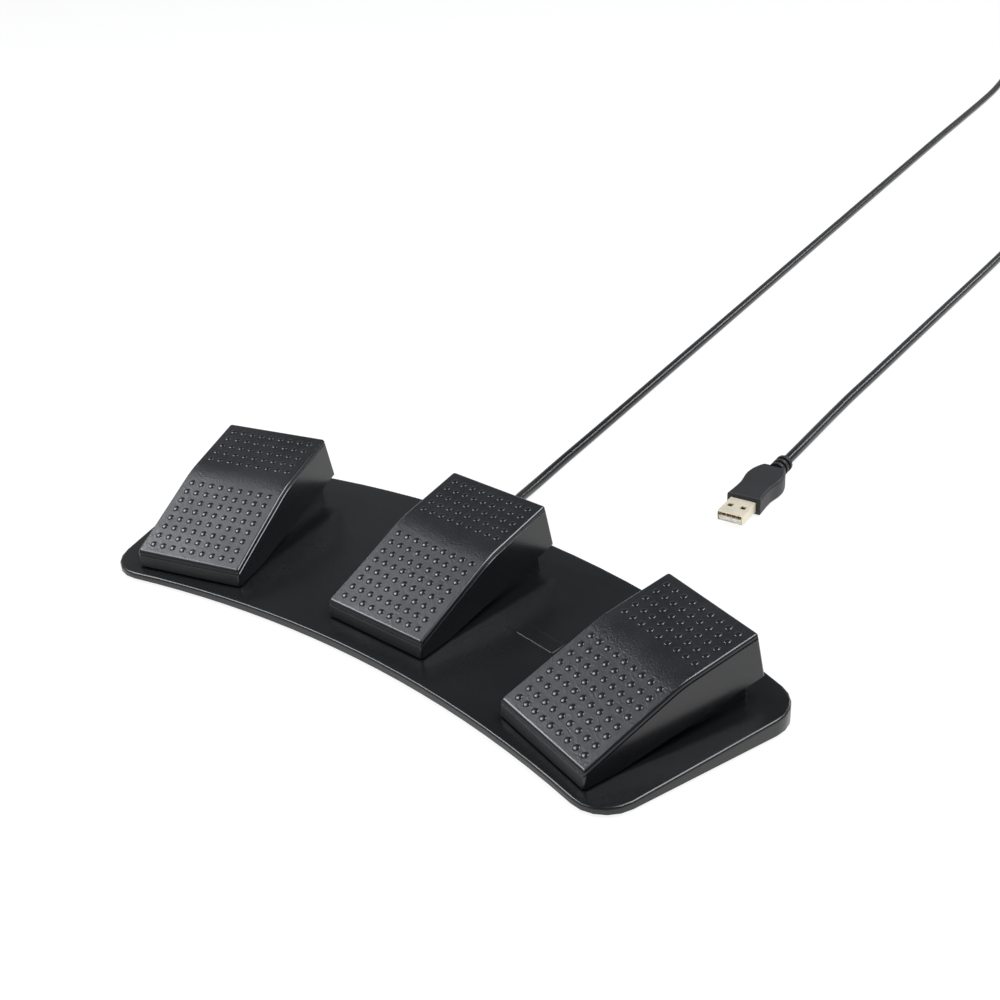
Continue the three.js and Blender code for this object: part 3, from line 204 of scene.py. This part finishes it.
lamps = [
    softbox("left softbox", toward=(-0.665, -0.195, 0.721), distance=1.5,
            width=0.5, height=0.58, radiance=10.8),
    softbox("front softbox", toward=(-0.387, -0.496, 0.777), distance=1.4,
            width=0.7, height=0.35, radiance=4.5),
    softbox("right softbox", toward=(0.35, 0.28, 0.895), distance=1.3,
            width=0.72, height=0.75, radiance=10.0),
    softbox("rear strip light", toward=(0.14, 0.855, 0.5), distance=3.0,
            width=0.3, height=1.3, radiance=10.0),
]
print("lamps in watts:", {lamp.name: round(lamp.data.energy, 1) for lamp in lamps})

# %% [markdown]
# ## The cable
# The cable is one length of cord with a soft PVC jacket, 4.8 mm thick and about two metres long. It
# leaves a rubber grommet in the rear wall, runs over the floor, lies in a small double coil and comes
# back to the plug. A Bezier curve with a round bevel is the natural way to make it, and its points are
# the route of the CAD model. All of them are measured from the middle pedal's rear edge.

# %% Points of the two straight stretches
# x, y and height of the cable's middle line in mm, which is 2.4 where it lies on the floor
out_points = [
    (-26.6, 38.6, 4.7), (-29.5, 48.7, 3.5), (-32, 59, 2.7), (-35, 74, 2.4), (-42.1, 116.2, 2.4),
    (-61.3, 229, 2.4), (-85.3, 369.7, 2.4), (-109.2, 510.1, 2.4), (-130.7, 637.3, 2.4),
    (-152.3, 766.5, 2.4),
]
back_points = [
    (-97.5, 811, 4.4), (-91.5, 794, 3.2), (-85, 776, 2.6), (-76, 751, 2.4), (-52.4, 684, 2.4),
    (-22.6, 603, 2.4), (-3.8, 545, 2.4), (5.5, 490, 2.4), (13, 434.3, 2.4), (24.4, 336.6, 2.4),
    (34.2, 252.5, 2.4), (40.1, 202.6, 2.4),
]
print("points on the way out:", len(out_points), "on the way back:", len(back_points))

# %% [markdown]
# The coil spirals inwards on the floor, climbs over its own turns at the middle and spirals outwards
# again on top of them, as a cord does that is laid down by hand.

# %% Line of the coil
cable_radius = 2.4 * MM
coil_centre = Vector((-139, 863, 0)) * MM
coil_radius, coil_step, coil_rise = 29 * MM, 5.4 * MM, 5.4 * MM
coil_turns, points_per_turn = 2.472, 24
climbing_turns = 0.5
heading_in = (-0.1683, 0.9857)


def coil_line():
    first_angle = math.atan2(heading_in[1], heading_in[0]) + math.pi / 2
    count = round(coil_turns * points_per_turn)
    middle = coil_turns / 2
    line = []
    for i in range(count + 1):
        turns = i / count * coil_turns
        radius = coil_radius - coil_step * (middle - abs(turns - middle))
        share = min(max((turns - middle + climbing_turns / 2) / climbing_turns, 0), 1)
        climb = share * share * (3 - 2 * share)
        angle = first_angle - turns * 2 * math.pi
        line.append(coil_centre + Vector((radius * math.cos(angle), radius * math.sin(angle),
                                          cable_radius + coil_rise * climb)))
    return line


coil = coil_line()
print("points in the coil:", len(coil))

# %% Whole route, from the grommet to the plug's sleeve
rear_edge = Vector((0, 48.454 * MM, 0))  # of the middle pedal, on the floor
exit_place = Vector((-22.7, 9.39, 5.3)) * MM
exit_heading = Vector((-0.05366, 0.99856, 0))
grommet_length = 14 * MM
plug_place = Vector((57.1, 92.9, 4.7)) * MM
plug_heading = Vector((0.137, -0.991, 0)).normalized()
body_length, sleeve_length, seam = 32 * MM, 12.6 * MM, 0.3 * MM
tucked_in, past_grommet, before_sleeve = 1 * MM, 7 * MM, 14 * MM
lead_in, lead_out = 10 * cable_radius, 8 * cable_radius

into_coil = (coil[1] - coil[0]).normalized()
out_of_coil = (coil[-1] - coil[-2]).normalized()
sleeve_end = plug_place - plug_heading * (body_length + sleeve_length + seam)
route = [exit_place + exit_heading * (grommet_length + step) for step in (-tucked_in, past_grommet)]
route += [Vector(p) * MM for p in out_points]
route += [coil[0] - into_coil * lead_in] + coil + [coil[-1] + out_of_coil * lead_out]
route += [Vector(p) * MM for p in back_points]
route += [sleeve_end - plug_heading * before_sleeve, sleeve_end + plug_heading * tucked_in]
route = [p + rear_edge for p in route]
for point in route:
    point.z = max(point.z, cable_radius)
print("route points:", len(route))

# %% [markdown]
# A Bezier curve needs two handles at each point. Here they follow from the neighbouring points by the
# centripetal Catmull-Rom rule, which never overshoots or kinks where long spans meet short ones. None of
# them may pull the cable into the floor.

# %% Handles of the curve
SHORTEST_SPAN = 1e-9  # keeps the division safe if two points coincide


def handles(before, start, end, after):
    steps = (start - before, end - start, after - end)
    spans = [max(step.length, SHORTEST_SPAN) ** 0.5 for step in steps]
    leave = ((start - before) / spans[0] - (end - before) / (spans[0] + spans[1])
             + (end - start) / spans[1]) * spans[1]
    arrive = ((end - start) / spans[1] - (after - start) / (spans[1] + spans[2])
              + (after - end) / spans[2]) * spans[1]
    return start + leave / 3, end - arrive / 3


padded_route = [2 * route[0] - route[1]] + route + [2 * route[-1] - route[-2]]
handle_pairs = [handles(*padded_route[i:i + 4]) for i in range(len(route) - 1)]
for leave, arrive in handle_pairs:
    leave.z = max(leave.z, cable_radius)
    arrive.z = max(arrive.z, cable_radius)
print("handle pairs:", len(handle_pairs))

# %% Cable as one bevelled curve
cable_data = bpy.data.curves.new("usb_cable", "CURVE")
cable_data.dimensions = "3D"
cable_data.resolution_u = 10
cable_data.bevel_depth = 1.0  # times each point's radius
cable_data.bevel_resolution = 5
cable_data.use_fill_caps = True
spline = cable_data.splines.new("BEZIER")
spline.bezier_points.add(len(route) - 1)
for point, place in zip(spline.bezier_points, route):
    point.handle_left_type = "FREE"
    point.handle_right_type = "FREE"
    point.co = place
    point.radius = cable_radius
    point.handle_left = place
    point.handle_right = place
for i, (leave, arrive) in enumerate(handle_pairs):
    spline.bezier_points[i].handle_right = leave
    spline.bezier_points[i + 1].handle_left = arrive
cable = bpy.data.objects.new("usb_cable", cable_data)
scene.collection.objects.link(cable)
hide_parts("cable_out", "cable_coil", "cable_back")
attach(cable, "base")

# %% [markdown]
# ## Moulded pieces from the CAD
# An injection-moulded piece has flat faces, tight radii and no facets, but the CAD mesh is a loose set of
# triangles that would shade like cut paper. The shapes are right, so they aren't modelled again: each is
# copied, its doubled points are merged, edges sharper than a limit stay sharp, and the rest is shaded
# smooth. The Weighted Normal modifier then lets the large faces decide the shading, so that long thin
# triangles leave no streaks on the deck.

# %% Smooth copy of a CAD node
SAME_POINT = 0.001 * MM


def moulded(node, name, body, sharp_from=38):
    mesh = nodes[node].data.copy()
    mesh.name = name
    work = bmesh.new()
    work.from_mesh(mesh)
    bmesh.ops.remove_doubles(work, verts=work.verts, dist=SAME_POINT)
    for face in work.faces:
        face.smooth = True
    for edge in work.edges:
        edge.smooth = len(edge.link_faces) == 2 and edge.calc_face_angle() < math.radians(sharp_from)
    work.to_mesh(mesh)
    work.free()
    mesh.materials.clear()
    piece = bpy.data.objects.new(name, mesh)
    scene.collection.objects.link(piece)
    weigh = piece.modifiers.new("Weighted Normal", "WEIGHTED_NORMAL")
    weigh.keep_sharp = True
    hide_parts(node)
    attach(piece, body)
    print(name, "triangles:", len(mesh.polygons))
    return piece


# %% Base, covers, grommet and plug
SIDES = ("left", "middle", "right")
base = moulded("base_shell", "base_moulding", "base")
plate = moulded("base_plate", "bottom_plate", "base")
grommet = moulded("cable_grommet", "rear_grommet", "base", sharp_from=50)
covers = {}
for side in SIDES:
    covers[side] = moulded(f"{side}_pedal_cover", f"{side}_cover_moulding", f"{side}_pedal")
plug_grip = moulded("plug_body", "plug_grip", "base", sharp_from=60)
plug_sleeve = moulded("plug_strain_relief", "plug_ribbed_sleeve", "base", sharp_from=50)
plug_shell = moulded("plug_shell", "plug_steel_shell", "base")

# %% [markdown]
# The real cable is loose while everything else is stiff, but here it rides on the base with the plug.

# %% [markdown]
# ## The tread
# Each pedal is stepped on with a shoe, so its mould has rows of small raised dots: nine across, eight on
# the front slope and five on the rear panel, with a smooth band at the crease. The dots belong to the
# planes of the two panels, so the pedal's own measures are needed first. The pedals stand in a fan on
# the sloping deck, and one matrix takes a point from a pedal's own axes to its place there.

# %% Place of each pedal
wedge = math.radians(3.15)
deck_rise = 9.386 * MM
fan_angle = math.radians(15.66)
fan_radius, outer_setback = 439 * MM, 1.1 * MM


def pedal_matrix(side):
    turn_by = {"left": fan_angle, "middle": 0, "right": -fan_angle}[side]
    radius = fan_radius - (0 if side == "middle" else outer_setback)
    place = Vector((-radius * math.sin(turn_by), radius * math.cos(turn_by) - fan_radius, 0))
    return (Matrix.Translation(rear_edge + Vector((0, 0, deck_rise))) @ Matrix.Rotation(wedge, 4, "X")
            @ Matrix.Translation(place) @ Matrix.Rotation(turn_by, 4, "Z"))


for side in SIDES:
    print(side, "pedal's rear edge, mm:", [round(v / MM, 1) for v in pedal_matrix(side).translation])

# %% Slopes of the two panels
pedal_length, front_height = 79.7 * MM, 7.8 * MM
crease_back, crease_height = 35.897 * MM, 23.3 * MM
rear_top_back, rear_top_height = 2 * MM, 28.3 * MM
front_slope = math.atan2(crease_height - front_height, pedal_length - crease_back)
rear_slope = math.atan2(rear_top_height - crease_height, crease_back - rear_top_back)
print("slopes in degrees:", round(math.degrees(front_slope), 1), round(math.degrees(rear_slope), 1))

# %% [markdown]
# ## A node tree for the dots
# A pattern like this is work for Geometry Nodes. A grid of points is laid in the plane of a panel, one
# low dome is instanced on each point, and the instances are realised because the export keeps only real
# meshes. Every size is a named input of the tree, so one tree serves both panels of all three pedals.

# %% New tree with named inputs
SOCKET_OF = {int: "NodeSocketInt", float: "NodeSocketFloat", tuple: "NodeSocketVector",
             type(None): "NodeSocketMaterial"}


def tree_with_inputs(name, sizes):
    tree = bpy.data.node_groups.new(name, "GeometryNodeTree")
    tree.interface.new_socket("Geometry", in_out="INPUT", socket_type="NodeSocketGeometry")
    for label, value in sizes.items():
        socket = tree.interface.new_socket(label, in_out="INPUT", socket_type=SOCKET_OF[type(value)])
        if value is not None:
            socket.default_value = value
    tree.interface.new_socket("Geometry", in_out="OUTPUT", socket_type="NodeSocketGeometry")
    return tree, add(tree, "NodeGroupInput").outputs


dots_tree, given = tree_with_inputs("Tread dots", {
    "Rows": 8, "Columns": 9, "Row pitch": 4.96 * MM, "Column pitch": 5 * MM, "First row": 4.9 * MM,
    "Slope": 0.3, "Edge": (0, 0, 0), "Dot radius": 1.5 * MM, "Dot height": 0.4 * MM, "Finish": None})
print("inputs of the tread tree:", [socket.name for socket in given if socket.name])

# %% Grid of points, one for each dot
gaps_across = add(dots_tree, "ShaderNodeMath", {0: given["Columns"], 1: 1.0}, operation="SUBTRACT")
gaps_along = add(dots_tree, "ShaderNodeMath", {0: given["Rows"], 1: 1.0}, operation="SUBTRACT")
width = add(dots_tree, "ShaderNodeMath", {
    0: gaps_across.outputs[0], 1: given["Column pitch"]}, operation="MULTIPLY")
depth = add(dots_tree, "ShaderNodeMath", {
    0: gaps_along.outputs[0], 1: given["Row pitch"]}, operation="MULTIPLY")
points = add(dots_tree, "GeometryNodeMeshGrid", {
    "Size X": width.outputs[0], "Size Y": depth.outputs[0],
    "Vertices X": given["Columns"], "Vertices Y": given["Rows"]})
half_depth = add(dots_tree, "ShaderNodeMath", {
    0: depth.outputs[0], 1: 0.5, 2: given["First row"]}, operation="MULTIPLY_ADD")
first_row = add(dots_tree, "ShaderNodeCombineXYZ", {"Y": half_depth.outputs[0]})
from_edge = add(dots_tree, "GeometryNodeTransform", {
    "Geometry": points.outputs["Mesh"], "Translation": first_row.outputs[0]})
print("nodes for the grid:", len(dots_tree.nodes))

# %% Low dome on each point
ball = add(dots_tree, "GeometryNodeMeshUVSphere", {"Segments": 14, "Rings": 8, "Radius": 1.0})
dot_size = add(dots_tree, "ShaderNodeCombineXYZ", {
    "X": given["Dot radius"], "Y": given["Dot radius"], "Z": given["Dot height"]})
dome = add(dots_tree, "GeometryNodeTransform", {
    "Geometry": ball.outputs["Mesh"], "Scale": dot_size.outputs[0]})
dotted = add(dots_tree, "GeometryNodeInstanceOnPoints", {
    "Points": from_edge.outputs[0], "Instance": dome.outputs[0]})
real = add(dots_tree, "GeometryNodeRealizeInstances", {"Geometry": dotted.outputs[0]})
tilt = add(dots_tree, "ShaderNodeCombineXYZ", {"X": given["Slope"]})
placed = add(dots_tree, "GeometryNodeTransform", {
    "Geometry": real.outputs[0], "Rotation": tilt.outputs[0], "Translation": given["Edge"]})
smooth = add(dots_tree, "GeometryNodeSetShadeSmooth", {"Geometry": placed.outputs[0]})
finished = add(dots_tree, "GeometryNodeSetMaterial", {
    "Geometry": smooth.outputs[0], "Material": given["Finish"]})
add(dots_tree, "NodeGroupOutput", {"Geometry": finished.outputs[0]})
print("nodes in the whole tread tree:", len(dots_tree.nodes))

# %% [markdown]
# A tree does its work in a modifier. The result is taken from the evaluated object as a plain mesh, which
# is moved to its place, and the helper object with its modifier is thrown away. An input is set by its
# socket's identifier, because Blender doesn't find it by its name.


# %% From a node tree to a plain mesh
def grown(name, tree, values, matrix):
    seed = bpy.data.objects.new(name, bpy.data.meshes.new(name))
    scene.collection.objects.link(seed)
    modifier = seed.modifiers.new(name, "NODES")
    modifier.node_group = tree
    inputs = [item for item in tree.interface.items_tree if item.in_out == "INPUT"]
    identifiers = {item.name: item.identifier for item in inputs}
    for label, value in values.items():
        modifier[identifiers[label]] = value
    evaluated = seed.evaluated_get(bpy.context.evaluated_depsgraph_get())
    mesh = bpy.data.meshes.new_from_object(evaluated)
    mesh.transform(matrix)
    bpy.data.objects.remove(seed)
    mesh.name = name
    print(name, "faces:", len(mesh.polygons))
    return mesh


# %% [markdown]
# ## Plastics
# Deck and pedals are ABS of one dark pigment, and only the walls of their moulds differ. The top of each
# pedal comes from a spark-eroded wall, whose fine pebbled grain spreads the light softly. Its sides and
# edges are glossy, and the deck mirrors a blurred image of the pedals. The short front wall is satin,
# and its colour is darker than the top's as painted shade.
# In the shaders this is nearly one base colour with other roughnesses. The grain is a bump from a noise
# whose scale is worked out from its size, here 0.75 mm, as coarse as it needs to show at this distance.
# A second, slower noise lets the roughness wander a little, because no moulding is evenly glossy.

# %% One recipe for every finish
CLOUD_MM = 18


def grain(name, colour, roughness, grain_mm, height_mm, spread=0.05, metallic=0.0, ior=1.5):
    material = bpy.data.materials.new(name)
    material.use_nodes = True
    tree = material.node_tree
    shader = tree.nodes["Principled BSDF"]
    shader.inputs["Base Color"].default_value = linear(colour)
    shader.inputs["Roughness"].default_value = roughness
    shader.inputs["Metallic"].default_value = metallic
    if not metallic:
        shader.inputs["IOR"].default_value = ior
    place = add(tree, "ShaderNodeTexCoord").outputs["Object"]
    pebbles = add(tree, "ShaderNodeTexNoise", {
        "Vector": place, "Scale": 1 / (grain_mm * MM), "Detail": 2.0, "Roughness": 0.55})
    bump = add(tree, "ShaderNodeBump", {"Height": pebbles.outputs["Fac"], "Distance": height_mm * MM})
    cloud = add(tree, "ShaderNodeTexNoise", {
        "Vector": place, "Scale": 1 / (CLOUD_MM * MM), "Detail": 3.0})
    uneven = add(tree, "ShaderNodeMapRange", {
        "Value": cloud.outputs["Fac"], "From Min": 0.3, "From Max": 0.7,
        "To Min": roughness - spread, "To Max": roughness + spread})
    tree.links.new(bump.outputs["Normal"], shader.inputs["Normal"])
    tree.links.new(uneven.outputs["Result"], shader.inputs["Roughness"])
    print(name, "roughness", roughness, "grain", grain_mm, "mm")
    return material


# %% Pebbled and polished ABS
# a sheen like fine leather, grey where a lamp stands and black elsewhere
cover_abs = grain("spark-eroded ABS", "18191b", 0.33, grain_mm=0.75, height_mm=0.16, ior=1.55)
# sharp bright lines along the edges and a clear image of the floor low on the sides
wall_abs = grain("gloss ABS", "131416", 0.2, grain_mm=1.2, height_mm=0.003, spread=0.02, ior=1.55)
# an even dull black without an image of the lamps, darker than the top as painted shade
shaded_front_abs = grain("satin ABS painted shade", "141517", 0.55, grain_mm=0.75, height_mm=0.03)
# one bright spot on each dot, where the shoe has rubbed the grain away
dot_abs = grain("polished ABS", "1c1d1f", 0.2, grain_mm=0.45, height_mm=0.004, spread=0.02, ior=1.55)
# a blurred mirror of the pedals
deck_abs = grain("semi-gloss ABS", "131415", 0.26, grain_mm=1.2, height_mm=0.004, spread=0.03, ior=1.55)
# flat dark grey, for a piece that nobody looks at
plate_abs = grain("matt ABS", "1e1f21", 0.5, grain_mm=0.8, height_mm=0.03)

# %% [markdown]
# The three finishes of a cover lie on one mesh. Which one a face gets follows from where it looks: up
# from the deck, ahead, or elsewhere. The limit of 24 degrees takes in both slopes of the top, while the
# rounded edges keep the gloss of the sides. The faces that look ahead take the darker satin, which
# paints shade on the front wall.

# %% Finishes of the base, the plate and the covers
TOP, WALL, FRONT = range(3)
same_way = math.cos(math.radians(24))
base.data.materials.append(deck_abs)
plate.data.materials.append(plate_abs)
for side in SIDES:
    mesh = covers[side].data
    for material in (cover_abs, wall_abs, shaded_front_abs):
        mesh.materials.append(material)  # in the order of TOP, WALL and FRONT
    turn = pedal_matrix(side).to_3x3()
    up = turn @ Vector((0, 0, 1))
    ahead = turn @ Vector((0, -1, 0))
    for polygon in mesh.polygons:
        if polygon.normal.dot(up) > same_way:
            polygon.material_index = TOP
        elif polygon.normal.dot(ahead) > same_way:
            # faces that look ahead get the darker satin, painted shade on the front wall
            polygon.material_index = FRONT
        else:
            polygon.material_index = WALL
    print(side, "cover's faces on top:", sum(p.material_index == TOP for p in mesh.polygons))

# %% Tread dots on the three pedals
panels = {
    "front": {"Rows": 8, "First row": 4.9 * MM, "Slope": front_slope,
              "Edge": (0, -pedal_length, front_height)},
    "rear": {"Rows": 5, "First row": 9.1 * MM, "Slope": rear_slope,
             "Edge": (0, -crease_back, crease_height)},
}
for side in SIDES:
    work = bmesh.new()
    for panel, values in panels.items():
        work.from_mesh(grown(f"{side}_{panel}_dots", dots_tree, {**values, "Finish": dot_abs},
                             pedal_matrix(side)))
    tread = bpy.data.meshes.new(f"{side}_tread_dots")
    work.to_mesh(tread)
    work.free()
    tread.materials.append(dot_abs)
    dots = bpy.data.objects.new(f"{side}_tread_dots", tread)
    scene.collection.objects.link(dots)
    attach(dots, f"{side}_pedal")
    print(dots.name, "faces:", len(tread.polygons))

# %% [markdown]
# ## Rubber, PVC and metal
# The feet and the grommet are matt rubber. The cable's jacket is soft PVC, drawn out of a die while hot,
# so it is glossy and faintly wavy along its length. The plug's grip is PVC moulded over the metal shell,
# which is bent from nickel-plated steel sheet and has a warm, slightly uneven shine. Screws, pins and
# springs are plain steel with the marks of their making. Grain finer than a millimetre hardly shows from
# the camera's distance, and is there for a closer look.

# %% Rubber and soft plastics
# nearly no shine, so a foot reads as rubber beside the plastic
foot_rubber = grain("moulded rubber", "17181a", 0.75, grain_mm=0.5, height_mm=0.03)
# a bright line along the top of the cable, with soft ends
jacket = grain("extruded PVC jacket", "08080a", 0.26, grain_mm=2.5, height_mm=0.02, spread=0.03)
# a soft dull grip, lighter than the jacket
grip_pvc = grain("moulded PVC grip", "1c1c1e", 0.5, grain_mm=0.5, height_mm=0.03)

# %% Plastics and resins of the inner pieces
# creamy and a little waxy
nylon = grain("natural nylon", "e2ded0", 0.45, grain_mm=0.7, height_mm=0.01)
# dull black, because its glass fibres reach the surface
switch_pbt = grain("glass-filled PBT", "1a1b1d", 0.5, grain_mm=0.4, height_mm=0.02)
# a small red spot, smooth because it has to slide
button_red = grain("red acetal", "a5352a", 0.4, grain_mm=0.5, height_mm=0.01)
# flat black, as the chip's case comes out of its press
epoxy = grain("moulded epoxy", "131416", 0.5, grain_mm=0.3, height_mm=0.02)
# green lacquer with the weave of the glass cloth just showing
laminate = grain("lacquered laminate", "1d5a38", 0.35, grain_mm=0.9, height_mm=0.01)
# clean white inside the plug
tongue_white = grain("white PBT", "e6e4dc", 0.45, grain_mm=0.6, height_mm=0.01)

# %% Metals
# a warm blurred shine, uneven because the sheet was plated before it was bent
nickel = grain("nickel-plated steel sheet", "f4ecd8", 0.55, grain_mm=1.5, height_mm=0.006, spread=0.06,
               metallic=1.0)
# a bluish grey, duller than the nickel
zinc = grain("zinc-plated steel", "a9adb0", 0.38, grain_mm=0.6, height_mm=0.01, metallic=1.0)
# bright and clear, as a pin is that turns in a bore
ground = grain("ground steel", "b4b5b5", 0.25, grain_mm=0.3, height_mm=0.004, metallic=1.0)
# darker, with fine lines from the die
wire = grain("drawn spring wire", "8f9194", 0.32, grain_mm=0.25, height_mm=0.006, metallic=1.0)
# a neutral satin strip
stainless = grain("stamped stainless strip", "b2b3b0", 0.3, grain_mm=0.5, height_mm=0.004, metallic=1.0)
# thin gold on the plug's contacts
gilt = grain("gilt copper alloy", "d8b25c", 0.25, grain_mm=0.5, height_mm=0.004, metallic=1.0)

# %% [markdown]
# ## Each piece gets its finish
# The modelled pieces take theirs directly. Pieces that are hidden in the real object, such as screws and
# switches, keep their CAD mesh, because nobody sees more of them than their colour. A part of each name
# says what the piece is, so one table is enough for all of them.

# %% Finishes by name
cable_data.materials.append(jacket)
grommet.data.materials.append(foot_rubber)
plug_grip.data.materials.append(grip_pvc)
plug_sleeve.data.materials.append(grip_pvc)
plug_shell.data.materials.append(nickel)

finish_of = {
    "foot_": foot_rubber, "_screw_": zinc, "_hinge_pin": ground, "_switch_body": switch_pbt,
    "_switch_button": button_red, "_switch_lever": stainless, "control_board": laminate,
    "controller_chip": epoxy, "board_socket": nylon, "plug_tongue": tongue_white, "plug_contact": gilt,
}
dressed = []
for name in nodes:
    for part_of_name, material in finish_of.items():
        if part_of_name in name:
            nodes[name].data.materials.clear()
            nodes[name].data.materials.append(material)
            dressed.append(name)
print("CAD nodes that keep their mesh:", len(dressed))

# %% [markdown]
# ## The return springs
# Under the rear of each pedal a wire spring stands in a well. Its first and last turns lie nearly closed,
# so that it stands square, and the turns between them are evenly open. In Geometry Nodes it is a spiral
# of height 1 whose heights are remapped by that rule and which is then swept with a round wire.

# %% Inputs of the spring tree
spring_foot, spring_head, closed_pitch = 2.85 * MM, 22.3 * MM, 1.55 * MM
spring_tree, given = tree_with_inputs("Compression spring", {
    "Turns": 6.0, "Radius": 5.2 * MM, "Wire radius": 0.55 * MM, "Foot": spring_foot,
    "Head": spring_head, "Closed pitch": closed_pitch, "Finish": None})
print("inputs of the spring tree:", [socket.name for socket in given if socket.name])

# %% Spiral of height 1, and the marks where its end turns stop
spiral = add(spring_tree, "GeometryNodeCurveSpiral", {
    "Resolution": 24, "Rotations": given["Turns"], "Start Radius": given["Radius"],
    "End Radius": given["Radius"], "Height": 1.0})
where = add(spring_tree, "GeometryNodeInputPosition")
parts = add(spring_tree, "ShaderNodeSeparateXYZ", {"Vector": where.outputs[0]})
share = parts.outputs["Z"]
one_turn = add(spring_tree, "ShaderNodeMath", {
    0: 1.0, 1: given["Turns"]}, operation="DIVIDE").outputs[0]
last_turn = add(spring_tree, "ShaderNodeMath", {
    0: 1.0, 1: one_turn}, operation="SUBTRACT").outputs[0]
low_top = add(spring_tree, "ShaderNodeMath", {
    0: given["Foot"], 1: given["Closed pitch"]}, operation="ADD").outputs[0]
high_foot = add(spring_tree, "ShaderNodeMath", {
    0: given["Head"], 1: given["Closed pitch"]}, operation="SUBTRACT").outputs[0]
print("nodes for the spiral and its marks:", len(spring_tree.nodes))

# %% [markdown]
# Each Map Range node covers one stretch of the wire and holds its end value outside that stretch. The sum
# of the three is therefore the height that is wanted plus the two values at which the stretches meet, and
# these are taken off again.

# %% Heights of closed, open and closed turns
closed_low = add(spring_tree, "ShaderNodeMapRange", {
    "Value": share, "From Min": 0.0, "From Max": one_turn, "To Min": given["Foot"], "To Max": low_top})
opened = add(spring_tree, "ShaderNodeMapRange", {
    "Value": share, "From Min": one_turn, "From Max": last_turn, "To Min": low_top,
    "To Max": high_foot})
closed_high = add(spring_tree, "ShaderNodeMapRange", {
    "Value": share, "From Min": last_turn, "From Max": 1.0, "To Min": high_foot,
    "To Max": given["Head"]})
lower_half = add(spring_tree, "ShaderNodeMath", {
    0: closed_low.outputs["Result"], 1: opened.outputs["Result"]}, operation="ADD")
lower_rest = add(spring_tree, "ShaderNodeMath", {
    0: lower_half.outputs[0], 1: low_top}, operation="SUBTRACT")
upper_part = add(spring_tree, "ShaderNodeMath", {
    0: lower_rest.outputs[0], 1: closed_high.outputs["Result"]}, operation="ADD")
height = add(spring_tree, "ShaderNodeMath", {
    0: upper_part.outputs[0], 1: high_foot}, operation="SUBTRACT")
raised = add(spring_tree, "ShaderNodeCombineXYZ", {
    "X": parts.outputs["X"], "Y": parts.outputs["Y"], "Z": height.outputs[0]})
print("nodes with the heights:", len(spring_tree.nodes))

# %% Round wire along the spiral
wound = add(spring_tree, "GeometryNodeSetPosition", {
    "Geometry": spiral.outputs[0], "Position": raised.outputs[0]})
section = add(spring_tree, "GeometryNodeCurvePrimitiveCircle", {
    "Resolution": 10, "Radius": given["Wire radius"]})
swept = add(spring_tree, "GeometryNodeCurveToMesh", {
    "Curve": wound.outputs[0], "Profile Curve": section.outputs[0], "Fill Caps": True})
smooth = add(spring_tree, "GeometryNodeSetShadeSmooth", {"Geometry": swept.outputs[0]})
real = add(spring_tree, "GeometryNodeRealizeInstances", {"Geometry": smooth.outputs[0]})
finished = add(spring_tree, "GeometryNodeSetMaterial", {
    "Geometry": real.outputs[0], "Material": given["Finish"]})
add(spring_tree, "NodeGroupOutput", {"Geometry": finished.outputs[0]})
print("nodes in the whole spring tree:", len(spring_tree.nodes))

# %% [markdown]
# A spring has one end on the base and the other on the pedal, so it can't ride on either of them alone.

# %% Springs in their wells
well_from_rear = 15 * MM  # from the pedal's rear edge to the middle of the well
for side in SIDES:
    to_well = pedal_matrix(side) @ Matrix.Translation((0, -well_from_rear, 0))
    mesh = grown(f"{side}_spring_wire", spring_tree, {"Finish": wire}, to_well)
    mesh.materials.clear()
    mesh.materials.append(wire)
    spring = bpy.data.objects.new(f"{side}_spring_wire", mesh)
    scene.collection.objects.link(spring)
    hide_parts(f"{side}_return_spring")
    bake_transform(spring)
    low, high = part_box(f"{side}_return_spring")
    heights = [vertex.co.z / MM for vertex in mesh.vertices]
    print(spring.name, "mm from", round(min(heights), 2), "to", round(max(heights), 2),
          "CAD", round(low.z / MM, 2), round(high.z / MM, 2))

# %% [markdown]
# ## Sizes
# The dressed model keeps the size of the CAD model, apart from a third of a millimetre at the coil, where
# a round cable takes the place of one with flat facets.


bpy.context.view_layer.update()
